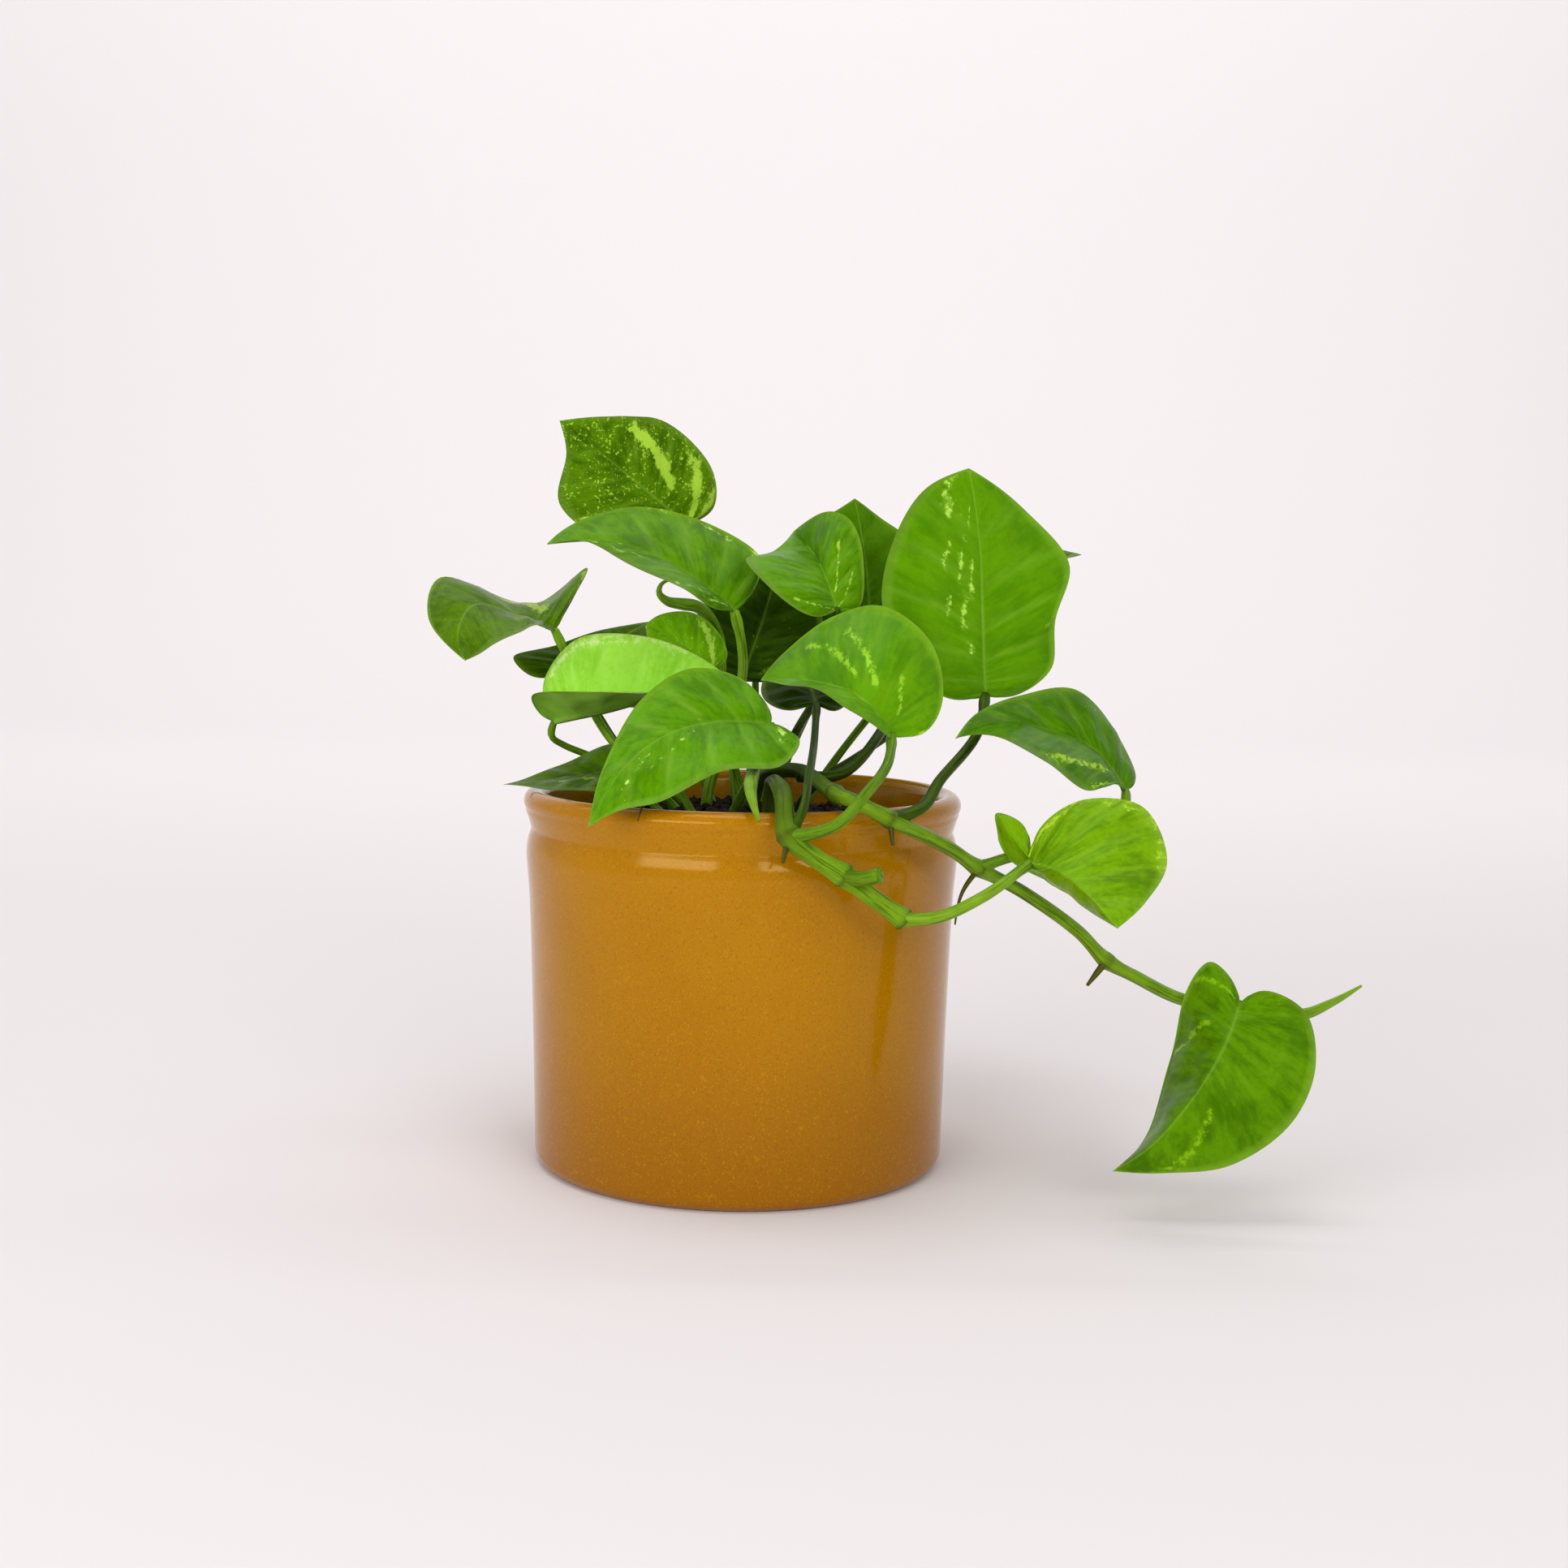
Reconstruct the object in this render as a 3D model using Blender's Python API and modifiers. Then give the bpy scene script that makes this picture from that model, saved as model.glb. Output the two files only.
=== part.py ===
"""Potted pothos: a glazed ceramic pot, soil, two vines that hang over the rim, leaves on their stalks.

The pot's axis is the world's Z axis and its flat underside is at z = 0. Sizes are in millimetres up
to the point where they become mesh coordinates. Every leaf and stalk is a separate closed solid.
"""

import math
from collections import namedtuple

import bpy
import numpy as np

MM = 0.001

# ---------------------------------------------------------------- pot and soil
POT_HEIGHT = 137.0
RIM_RADIUS = 80.0
RIM_THICKNESS = 8.5
BASE_RADIUS = 75.0
BASE_ROUND = 5.0
WALL = 6.0
FLOOR = 7.0
POT_STEPS = 48
SOIL_RADIUS = 69.2
SOIL_TOP = 130.0
SOIL_EDGE = 122.0
SOIL_BOTTOM = FLOOR + 0.5
GAP = 0.5

# ---------------------------------------------------------------- leaves and stalks
LEAF_THICKNESS = 0.8
LEAF_ROWS = 9
LEAF_COLUMNS = 4
LEAF_CUP = 0.06
STEM_STEP = 7.0

Leaf = namedtuple("Leaf", "base tip rib left right")
Stem = namedtuple("Stem", "route radius taper foot head")

# Each leaf is drawn by its base, its tip, the way of its midrib and its two margins, base to tip.
LEAVES = {
    "top_left": Leaf(
        base=(-24, 46, 234), tip=(-72, 34, 272), rib=[(-46, 38, 252)],
        left=[(-34, 40, 223), (-54, 30, 227), (-71, 26, 241), (-69, 30, 260)],
        right=[(-14, 50, 241), (-15, 48, 256), (-33, 42, 273), (-55, 36, 274)]),
    "long_left": Leaf(
        base=(-4, -4, 202), tip=(-71, -14, 225), rib=[(-22, -4, 216), (-46, -9, 226)],
        left=[(-12, -16, 204), (-23, -27, 210), (-42, -30, 220), (-59, -22, 226)],
        right=[(3, 4, 210), (5, 12, 221), (-13, 20, 234), (-40, 16, 239), (-61, 0, 234)]),
    "far_left": Leaf(
        base=(-70, 4, 194), tip=(-100, -15, 183), rib=[(-83, 2, 199), (-98, -2, 203), (-103, -10, 194)],
        left=[(-72, -12, 195), (-77, -18, 196), (-88, -22, 189)],
        right=[(-64, 18, 207), (-61, 30, 217), (-82, 30, 203), (-114, 18, 212), (-116, 0, 198)]),
    "back_left": Leaf(
        base=(-67, 20, 177), tip=(-37, 36, 197), rib=[(-52, 28, 188)],
        left=[(-81, 22, 176), (-88, 26, 183), (-71, 30, 188), (-53, 34, 194)],
        right=[(-59, 16, 172), (-45, 18, 178), (-37, 26, 188)]),
    "bright": Leaf(
        base=(-69, -6, 161), tip=(-8, 8, 179), rib=[(-49, -4, 165), (-29, 2, 171)],
        left=[(-73, -2, 167), (-73, 2, 177), (-62, 7, 191), (-39, 9, 192), (-21, 9, 187)],
        right=[(-73, -14, 164), (-75, -22, 172), (-51, -32, 173), (-28, -18, 174)]),
    "small": Leaf(
        base=(-11, 16, 180), tip=(-38, 20, 196), rib=[(-24, 18, 189)],
        left=[(-16, 12, 175), (-27, 12, 177), (-35, 14, 186)],
        right=[(-7, 18, 185), (-11, 22, 194), (-21, 24, 201), (-32, 22, 200)]),
    "front": Leaf(
        base=(10, -42, 164), tip=(-49, -84, 132), rib=[(-9, -50, 165), (-25, -60, 161), (-38, -72, 151)],
        left=[(20, -50, 159), (14, -62, 152), (-4, -70, 150), (-25, -78, 141), (-38, -82, 138)],
        right=[(9, -36, 170), (0, -32, 179), (-18, -36, 182), (-34, -48, 173), (-45, -68, 151)]),
    "low_left": Leaf(
        base=(-31, -14, 146), tip=(-87, -8, 138), rib=[(-60, -12, 142)],
        left=[(-29, -22, 138), (-47, -30, 138), (-65, -24, 138), (-76, -16, 138)],
        right=[(-34, -4, 154), (-51, 0, 152), (-67, -2, 145), (-79, -6, 140)]),
    "shade": Leaf(
        base=(-2, 40, 175), tip=(12, 50, 221), rib=[(6, 44, 199)],
        left=[(-11, 38, 176), (-18, 38, 187), (-19, 40, 201), (-5, 46, 213)],
        right=[(11, 38, 175), (26, 38, 183), (29, 42, 198), (21, 46, 214)]),
    "centre": Leaf(
        base=(33, -4, 203), tip=(17, 34, 232), rib=[(29, 4, 215), (25, 18, 223)],
        left=[(25, -10, 201), (9, -16, 210), (0, -6, 221), (10, 14, 224)],
        right=[(41, 0, 204), (43, 6, 218), (38, 16, 236), (28, 26, 239)]),
    "centre_back": Leaf(
        base=(48, 54, 191), tip=(41, 66, 246), rib=[(46, 60, 219)],
        left=[(37, 54, 189), (20, 56, 203), (13, 58, 218), (19, 62, 233), (32, 66, 240)],
        right=[(59, 54, 191), (69, 58, 207), (64, 62, 228), (51, 66, 239)]),
    "tall": Leaf(
        base=(86, -20, 174), tip=(80, 0, 255), rib=[(85, -14, 202), (84, -6, 228)],
        left=[(73, -26, 173), (57, -27, 183), (49, -18, 206), (52, -14, 227), (64, -4, 247)],
        right=[(98, -14, 174), (111, -10, 184), (112, -8, 201), (117, 0, 221), (101, 4, 241)]),
    "behind_tall": Leaf(
        base=(102, 28, 218), tip=(126, 30, 225), rib=[(113, 32, 222)],
        left=[(103, 36, 223), (114, 40, 227)],
        right=[(103, 18, 215), (115, 20, 222)]),
    "crown": Leaf(
        base=(51, -62, 162), tip=(6, -20, 178), rib=[(41, -60, 174), (25, -42, 179)],
        left=[(48, -72, 163), (37, -78, 172), (24, -60, 177)],
        right=[(62, -58, 163), (69, -48, 174), (65, -38, 193), (48, -30, 205), (30, -20, 201), (14, -14, 187)]),
    "right": Leaf(
        base=(135, -34, 142), tip=(73, -54, 161), rib=[(124, -32, 156), (107, -34, 163), (87, -44, 166)],
        left=[(129, -44, 145), (118, -56, 145), (102, -64, 154), (87, -64, 163)],
        right=[(140, -24, 147), (134, -12, 162), (118, -16, 176), (98, -27, 175), (82, -40, 169)]),
    "round": Leaf(
        base=(97, -72, 121), tip=(122, -104, 105), rib=[(106, -84, 120), (115, -96, 113)],
        left=[(102, -66, 133), (116, -62, 142), (135, -66, 140), (142, -78, 124), (133, -92, 112)],
        right=[(96, -62, 133), (87, -58, 136), (92, -58, 121), (108, -67, 112), (117, -84, 107)]),
    "trailing": Leaf(
        base=(171, -64, 73), tip=(128, -74, 17), rib=[(164, -74, 60), (153, -80, 44), (140, -80, 28)],
        left=[(179, -66, 78), (192, -70, 72), (195, -74, 54), (186, -78, 35), (166, -80, 21), (145, -78, 18)],
        right=[(169, -58, 81), (163, -52, 85), (156, -48, 73), (150, -52, 51), (142, -64, 28)]),
    "under": Leaf(
        base=(26, -24, 170), tip=(20, 20, 188), rib=[(23, 0, 178)],
        left=[(17, -24, 168), (8, -16, 170), (7, 0, 178)],
        right=[(33, -26, 168), (39, -20, 172), (39, 0, 180)]),
    "rear_middle": Leaf(
        base=(38, 70, 192), tip=(52, 126, 170), rib=[(43, 90, 197), (49, 112, 186)],
        left=[(28, 66, 186), (20, 76, 184), (24, 96, 183), (40, 116, 176)],
        right=[(50, 66, 187), (64, 74, 187), (70, 92, 186), (63, 114, 177)]),
    "rear_right": Leaf(
        base=(72, 46, 196), tip=(104, 94, 202), rib=[(82, 60, 204), (94, 78, 207)],
        left=[(64, 48, 191), (62, 62, 193), (74, 80, 199), (92, 92, 202)],
        right=[(80, 38, 192), (94, 42, 195), (104, 58, 200), (106, 78, 203)]),
    "rear_left": Leaf(
        base=(-32, 54, 168), tip=(-62, 108, 158), rib=[(-42, 70, 175), (-52, 88, 171)],
        left=[(-42, 48, 163), (-56, 54, 164), (-66, 72, 164), (-66, 92, 160)],
        right=[(-22, 58, 164), (-20, 72, 166), (-32, 90, 166), (-50, 104, 161)]),
    "rear_high": Leaf(
        base=(2, 62, 192), tip=(4, 104, 208), rib=[(2, 76, 202), (3, 90, 208)],
        left=[(-5, 58, 190), (-14, 68, 194), (-13, 84, 200), (-4, 98, 206)],
        right=[(9, 58, 190), (18, 68, 194), (18, 84, 201), (11, 98, 207)]),
}

# foot and head are the clearances, along the stalk, that keep it off its vine and its leaf.
STEMS = {
    "vine_trailing": Stem(
        [(3, -8, 131), (7, -20, 143), (20, -41, 148), (32, -64, 142.5), (38, -76, 141.5), (50, -80, 136),
         (58, -75, 132), (71, -66, 125), (82, -57, 117), (98, -50, 108), (118, -47, 94), (128, -47, 84),
         (139, -46, 78), (155, -42, 70), (171, -42, 67), (189, -44, 67)], 2.4, 0.8, 0, 0),
    "vine_front": Stem(
        [(10, -42, 131), (11, -52, 144), (13, -66, 145), (15, -80, 142), (17, -88, 131), (27, -88, 123),
         (35, -86, 118), (44, -84, 111), (55, -80, 103)], 3.4, 0.9, 0, 1),
    "vine_tip": Stem([(189, -44, 67), (197, -46, 66), (206, -50, 71), (215, -54, 78)], 2.2, 0.25, 1, 0),
    "sheath": Stem([(5, -52, 149), (4, -72, 145), (5, -83, 141), (7, -89, 136)], 2.4, 0.6, 0, 0),
    "cut_stalk": Stem([(35, -86, 118), (40, -92, 118), (46, -97, 120)], 2.5, 1.0, 6, 0),
    "bud": Stem(
        [(-8.5, 16, 165), (-9, 23, 174), (-9, 30, 183), (-10, 35, 191), (-14, 31, 199), (-19, 28, 203),
         (-25, 26, 204), (-30, 24, 205), (-33, 22, 208), (-32, 22, 211.5), (-28, 22, 213)], 1.7, 1.3, 8, 0),
    "root_hanging": Stem([(82, -57, 117), (76, -61, 109), (74, -60, 98)], 1.0, 0.5, 5, 0),
    "root_rim": Stem([(50, -80, 136), (51, -84, 128)], 1.2, 0.5, 4.4, 0),
    "root_front": Stem([(17, -88, 131), (15, -94, 123)], 1.3, 0.5, 5, 0),
    "root_trailing": Stem([(128, -47, 84), (121, -51, 76)], 1.4, 0.5, 4.4, 0),
    "husk": Stem([(-25, -50, 144), (-28, -64, 143), (-31, -72, 140.5), (-33, -78, 134)], 1.3, 0.3, 0, 0),
    "stalk_top_left": Stem(
        [(-2, 20, 126), (-4, 30, 138), (-8, 46, 170), (-11, 54, 199), (-16, 54, 218), (-24, 46, 234)],
        2.0, 0.9, 0, 4),
    "stalk_long_left": Stem(
        [(-14, 0, 128), (-12, 4, 140), (-5, 8, 158), (-1, 6, 179), (-1.5, 0, 191), (-4, -4, 202)],
        2.3, 0.9, 0, 4),
    "stalk_far_left": Stem(
        [(-23, -4, 128), (-34, 2, 138), (-48, 8, 152), (-55, 12, 161), (-66, 12, 183), (-68, 7, 189),
         (-70, 4, 194)], 2.0, 0.9, 0, 4),
    "stalk_back_left": Stem(
        [(-20, 8, 127), (-32, 14, 137), (-48, 20, 151), (-56, 24, 162), (-67, 20, 177)], 1.8, 0.9, 0, 4),
    "stalk_bright": Stem(
        [(-29, -20, 130), (-40, -8, 139), (-55, 4, 147), (-66, 0, 152), (-70, -6, 156), (-69, -6, 161)],
        1.6, 0.9, 0, 2.4),
    "stalk_small": Stem([(3, 10, 128), (-3, 14, 142), (-8, 16, 163), (-11, 16, 180)], 1.7, 0.9, 0, 4),
    "stalk_front": Stem([(-3, -16, 130), (0, -22, 137), (5, -30, 147), (9, -38, 157), (10, -42, 164)],
                        2.0, 0.9, 0, 4),
    "stalk_low_left": Stem([(-18, -18, 130), (-23, -16, 138), (-31, -14, 146)], 1.8, 0.9, 0, 4),
    "stalk_shade": Stem([(8, 24, 126), (5, 30, 137), (1, 36, 156), (-2, 40, 175)], 2.0, 0.9, 0, 4),
    "stalk_centre": Stem(
        [(14, 4, 129), (14, 8, 146), (19, 14, 157), (24, 22, 165), (33, 28, 180), (35, 14, 194),
         (33, -4, 203)],
        2.0, 0.9, 0, 4),
    "stalk_centre_back": Stem(
        [(20, -42, 147), (28, -43, 146), (37, -39, 148), (49, -22, 160), (54, 20, 173), (48, 54, 191)],
        2.2, 0.9, 7, 4),
    "stalk_tall": Stem([(50, -80, 136), (61, -72, 139), (68, -58, 147), (82, -36, 161), (86, -20, 174)],
                       2.3, 0.9, 9, 4),
    "stalk_behind_tall": Stem(
        [(20, -16, 131), (22, -20, 136), (28, -24, 143), (40, -14, 150), (56, 0, 160), (72, 12, 175),
         (93, 26, 192), (102, 28, 218)], 1.6, 0.9, 0, 4),
    "stalk_crown": Stem([(17, -88, 131), (32, -97, 136), (42, -90, 146), (49, -76, 154), (51, -62, 162)],
                        2.2, 0.9, 7, 4),
    "stalk_right": Stem(
        [(82, -57, 117), (90, -58, 120.5), (97, -51, 121), (111, -46, 123), (127, -42, 131), (134, -38, 138),
         (135, -34, 142)], 2.0, 0.9, 7, 3),
    "stalk_round": Stem([(55, -80, 103), (67, -86, 105), (81, -86, 112), (91, -80, 118), (97, -72, 121)],
                        2.3, 0.9, 3, 4),
    "stalk_trailing": Stem([(171, -42, 67), (173, -52, 67), (171, -64, 73)], 1.6, 0.9, 4.4, 3),
    "stalk_under": Stem([(17, -88, 131), (21, -86, 139), (23, -70, 148), (25, -44, 158), (26, -24, 170)],
                        1.8, 0.9, 8, 4),
    "stalk_rear_middle": Stem([(10, 28, 128), (18, 40, 150), (30, 56, 175), (38, 70, 192)], 2.0, 0.9, 0, 4),
    "stalk_rear_right": Stem([(22, 18, 128), (36, 26, 148), (58, 36, 176), (72, 46, 196)], 1.9, 0.9, 0, 4),
    "stalk_rear_left": Stem([(-12, 26, 128), (-20, 38, 146), (-28, 48, 160), (-32, 54, 168)],
                            1.9, 0.9, 0, 4),
    "stalk_rear_high": Stem([(0, 36, 128), (3, 46, 150), (3, 56, 175), (2, 62, 192)], 1.8, 0.9, 0, 4),
}

ROOTED = ("stalk_top_left", "stalk_long_left", "stalk_far_left", "stalk_back_left", "stalk_bright",
          "stalk_small", "stalk_front", "stalk_low_left", "stalk_shade", "stalk_centre",
          "stalk_behind_tall", "stalk_rear_middle", "stalk_rear_right", "stalk_rear_left",
          "stalk_rear_high", "vine_trailing", "vine_front")
DARK = ("root_hanging", "root_rim", "root_front", "root_trailing", "husk")

# name: (colour, roughness)
FINISHES = {
    "glaze": ((0.47, 0.22, 0.008), 0.16),
    "soil": ((0.012, 0.010, 0.008), 0.95),
    "leaf_green": ((0.12, 0.30, 0.012), 0.38),
    "stalk_green": ((0.16, 0.33, 0.03), 0.42),
    "root_brown": ((0.035, 0.045, 0.012), 0.7),
}


def material(name):
    """The Principled material of this name, made once."""
    found = bpy.data.materials.get(name)
    if found:
        return found
    made = bpy.data.materials.new(name)
    made.use_nodes = True
    colour, roughness = FINISHES[name]
    shader = made.node_tree.nodes["Principled BSDF"]
    shader.inputs["Base Color"].default_value = (*colour, 1.0)
    shader.inputs["Roughness"].default_value = roughness
    made.diffuse_color = (*colour, 1.0)
    return made


def place(name, data, finish):
    """Links an object of this data to the plant's collection, with its material."""
    obj = bpy.data.objects.new(name, data)
    obj.data.materials.append(material(finish))
    bpy.data.collections["potted_pothos"].objects.link(obj)
    return obj


def mesh_of(name, points, faces):
    mesh = bpy.data.meshes.new(name)
    mesh.from_pydata([tuple(float(c) * MM for c in p) for p in points], [], faces)
    mesh.update()
    return mesh


def lathe(name, profile, steps, finish):
    """Turns an (r, z) profile, given from the top of the outside down, about the Z axis."""
    points = [(r, 0.0, z) for r, z in profile]
    mesh = mesh_of(name, points, [])
    mesh.edges.add(len(points) - 1)
    for index, edge in enumerate(mesh.edges):
        edge.vertices = (index, index + 1)
    obj = place(name, mesh, finish)
    screw = obj.modifiers.new("turn", "SCREW")
    screw.steps = screw.render_steps = steps
    screw.use_merge_vertices = True
    screw.merge_threshold = 0.00005
    screw.use_normal_calculate = False
    return obj


def arc(centre, radius, start, end, count):
    """Points on an arc, with angles in degrees from +r towards +z."""
    return [(centre[0] + radius * math.cos(math.radians(a)), centre[1] + radius * math.sin(math.radians(a)))
            for a in np.linspace(start, end, count)]


def pot_profile():
    """Closed section of the pot: rim bead, groove, slightly tapering wall, rounded foot, inside wall."""
    bead = RIM_THICKNESS / 2
    centre = (RIM_RADIUS - bead, POT_HEIGHT - bead)
    outside = arc(centre, bead, 90, -40, 7)
    outside += [(RIM_RADIUS - 1.6, 126.5), (RIM_RADIUS - 2.6, 122.8), (RIM_RADIUS - 1.6, 119.0)]
    outside += [(RIM_RADIUS - 1.0, 115.0), (77.6, 95.0), (76.5, 60.0), (75.8, 20.0)]
    outside += arc((BASE_RADIUS - BASE_ROUND + 0.4, BASE_ROUND), BASE_ROUND, 0, -90, 5)
    inside = [(RIM_RADIUS - RIM_THICKNESS, POT_HEIGHT - bead - 1.5), (70.6, 126.0), (70.2, 60.0)]
    inside += [(BASE_RADIUS - WALL - 3, FLOOR + 6.0), (BASE_RADIUS - WALL - 9, FLOOR)]
    inside.reverse()
    return outside + [(0.0, 0.0)], [(0.0, FLOOR)] + inside + arc(centre, bead, 172, 106, 4)


def make_pot():
    outside, inside = pot_profile()
    return lathe("pot", outside + inside + outside[:1], POT_STEPS, "glaze")


def soil_height(radius):
    return SOIL_TOP - (SOIL_TOP - SOIL_EDGE) * (radius / SOIL_RADIUS) ** 2


def make_soil():
    top = [(r, soil_height(r)) for r in np.linspace(0, SOIL_RADIUS, 7)]
    side = [(SOIL_RADIUS, 60.0), (BASE_RADIUS - WALL - 5, FLOOR + 6.5), (BASE_RADIUS - WALL - 10, SOIL_BOTTOM)]
    return lathe("soil", top + side + [(0.0, SOIL_BOTTOM)], POT_STEPS, "soil")


def smooth_route(points, where):
    """Points at these fractions, 0 to 1, of a smooth curve through all the points given."""
    points = np.asarray(points, float)
    knots = np.concatenate([[0], np.cumsum(np.linalg.norm(np.diff(points, axis=0), axis=1) ** 0.5)])
    knots /= knots[-1]
    width = np.diff(knots)
    chord = np.diff(points, axis=0) / width[:, None]
    slope = np.empty_like(points)
    if len(points) > 2:
        slope[1:-1] = chord[:-1] * width[1:, None] + chord[1:] * width[:-1, None]
        slope[1:-1] /= (width[1:] + width[:-1])[:, None]
        slope[0], slope[-1] = 1.5 * chord[0] - 0.5 * slope[1], 1.5 * chord[-1] - 0.5 * slope[-2]
    else:
        slope[:] = chord[0]
    where = np.asarray(where, float)
    i = np.clip(np.searchsorted(knots, where, side="right") - 1, 0, len(points) - 2)
    h, u = width[i][:, None], ((where - knots[i]) / width[i])[:, None]
    near = (2 * u**3 - 3 * u**2 + 1) * points[i] + (u**3 - 2 * u**2 + u) * h * slope[i]
    return near + (3 * u**2 - 2 * u**3) * points[i + 1] + (u**3 - u**2) * h * slope[i + 1]


def leaf_half(leaf, margin, side):
    """Rows x columns of points from the midrib out to one margin, slightly cupped."""
    rows = np.linspace(0, 1, LEAF_ROWS)
    across = np.linspace(0, 1, LEAF_COLUMNS)[None, :, None]
    rib = smooth_route([leaf.base, *leaf.rib, leaf.tip], rows**1.35)
    edge = smooth_route([leaf.base, *margin, leaf.tip], rows)
    width = edge - rib
    along = np.gradient(rib, axis=0)
    along /= np.linalg.norm(along, axis=1)[:, None]
    upward = side * np.cross(width, along)
    return rib[:, None] + width[:, None] * across + upward[:, None] * LEAF_CUP * 4 * across * (1 - across)


def make_leaf(name, leaf):
    """One blade, both halves and the midrib, as a sheet given its thickness by Solidify."""
    left = leaf_half(leaf, leaf.left, -1)[1:-1]
    right = leaf_half(leaf, leaf.right, 1)[1:-1]
    grid = np.concatenate([left[:, :0:-1], right], axis=1)
    count = grid.shape[1]
    points = [*grid.reshape(-1, 3), leaf.base, leaf.tip]
    base, tip, last = len(points) - 2, len(points) - 1, (grid.shape[0] - 1) * count
    faces = [(base, c + 1, c) for c in range(count - 1)]
    for row in range(grid.shape[0] - 1):
        for c in range(count - 1):
            a = row * count + c
            faces.append((a, a + 1, a + count + 1, a + count))
    faces += [(last + c, last + c + 1, tip) for c in range(count - 1)]
    obj = place("leaf_" + name, mesh_of(name, points, faces), "leaf_green")
    solidify = obj.modifiers.new("thickness", "SOLIDIFY")
    solidify.thickness = LEAF_THICKNESS * MM
    solidify.offset = 0.0
    return obj


def trimmed(points, foot, head):
    """The polyline without its first foot millimetres and its last head millimetres."""
    length = np.concatenate([[0], np.cumsum(np.linalg.norm(np.diff(points, axis=0), axis=1))])
    count = max(3, round((length[-1] - foot - head) / STEM_STEP) + 1)
    at = np.linspace(foot, length[-1] - head, count)
    return np.stack([np.interp(at, length, points[:, axis]) for axis in range(3)], axis=1)


def above_soil(points, radius):
    """The polyline from where its whole section is clear of the soil."""
    along = np.gradient(points, axis=0)
    along /= np.linalg.norm(along, axis=1)[:, None]
    lowest = points[:, 2] - radius * np.sqrt(1 - along[:, 2] ** 2)
    clear = lowest > soil_height(np.hypot(points[:, 0], points[:, 1]) - radius) + GAP
    return points[np.argmax(clear):]


def make_stem(name, stem):
    """A round tapering stalk along its route, as a bevelled curve with filled ends."""
    fine = smooth_route(stem.route, np.linspace(0, 1, 120))
    if name in ROOTED:
        fine = above_soil(fine, stem.radius)
    points = trimmed(fine, stem.foot, stem.head)
    curve = bpy.data.curves.new(name, "CURVE")
    curve.dimensions = "3D"
    curve.bevel_depth = stem.radius * MM
    curve.bevel_resolution = 1
    curve.use_fill_caps = True
    spline = curve.splines.new("POLY")
    spline.points.add(len(points) - 1)
    for index, point in enumerate(points):
        spline.points[index].co = (*(float(c) * MM for c in point), 1.0)
        spline.points[index].radius = 1 + (stem.taper - 1) * index / (len(points) - 1)
    return place(name, curve, "root_brown" if name in DARK else "stalk_green")


def main():
    for obj in list(bpy.data.objects):
        bpy.data.objects.remove(obj)
    plant = bpy.data.collections.new("potted_pothos")
    bpy.context.scene.collection.children.link(plant)
    make_pot()
    make_soil()
    for name, stem in STEMS.items():
        make_stem(name, stem)
    for name, leaf in LEAVES.items():
        make_leaf(name, leaf)


main()
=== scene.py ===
"""Looks of the potted pothos: glazed pot, soil, vines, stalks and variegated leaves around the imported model."""

import math
from collections import namedtuple

import bpy
import numpy as np
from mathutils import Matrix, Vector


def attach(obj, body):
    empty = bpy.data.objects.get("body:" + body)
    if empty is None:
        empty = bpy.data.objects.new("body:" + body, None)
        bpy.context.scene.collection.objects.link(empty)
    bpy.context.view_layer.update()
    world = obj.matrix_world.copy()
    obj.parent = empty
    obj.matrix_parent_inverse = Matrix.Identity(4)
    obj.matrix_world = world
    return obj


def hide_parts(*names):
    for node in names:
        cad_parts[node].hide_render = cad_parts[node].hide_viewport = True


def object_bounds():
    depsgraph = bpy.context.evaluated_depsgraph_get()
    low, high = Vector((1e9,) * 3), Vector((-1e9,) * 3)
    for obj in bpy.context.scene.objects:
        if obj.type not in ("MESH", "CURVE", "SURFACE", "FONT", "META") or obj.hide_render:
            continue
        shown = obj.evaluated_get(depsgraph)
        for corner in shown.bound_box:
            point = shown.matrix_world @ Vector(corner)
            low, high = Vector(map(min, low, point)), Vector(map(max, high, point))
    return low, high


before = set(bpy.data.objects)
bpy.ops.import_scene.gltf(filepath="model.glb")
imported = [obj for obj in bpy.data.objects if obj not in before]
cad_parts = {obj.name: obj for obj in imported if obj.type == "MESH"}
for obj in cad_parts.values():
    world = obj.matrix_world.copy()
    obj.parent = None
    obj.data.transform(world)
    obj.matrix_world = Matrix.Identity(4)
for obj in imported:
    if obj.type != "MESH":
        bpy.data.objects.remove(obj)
cad_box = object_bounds()

MM = 0.001
Leaf = namedtuple("Leaf", "base tip rib left right")
Look = namedtuple("Look", "mid dark pale streaks specks marks wave", defaults=((), 0.5))

# ------------------------------------------------------------------------------------------------
# Small tools
# ------------------------------------------------------------------------------------------------


def srgb(red, green, blue):
    """A screen colour, 0 to 255, as the linear colour that shaders take."""
    return tuple(((c / 255 + 0.055) / 1.055) ** 2.4 if c > 10 else c / 255 / 12.92
                 for c in (red, green, blue))


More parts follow.
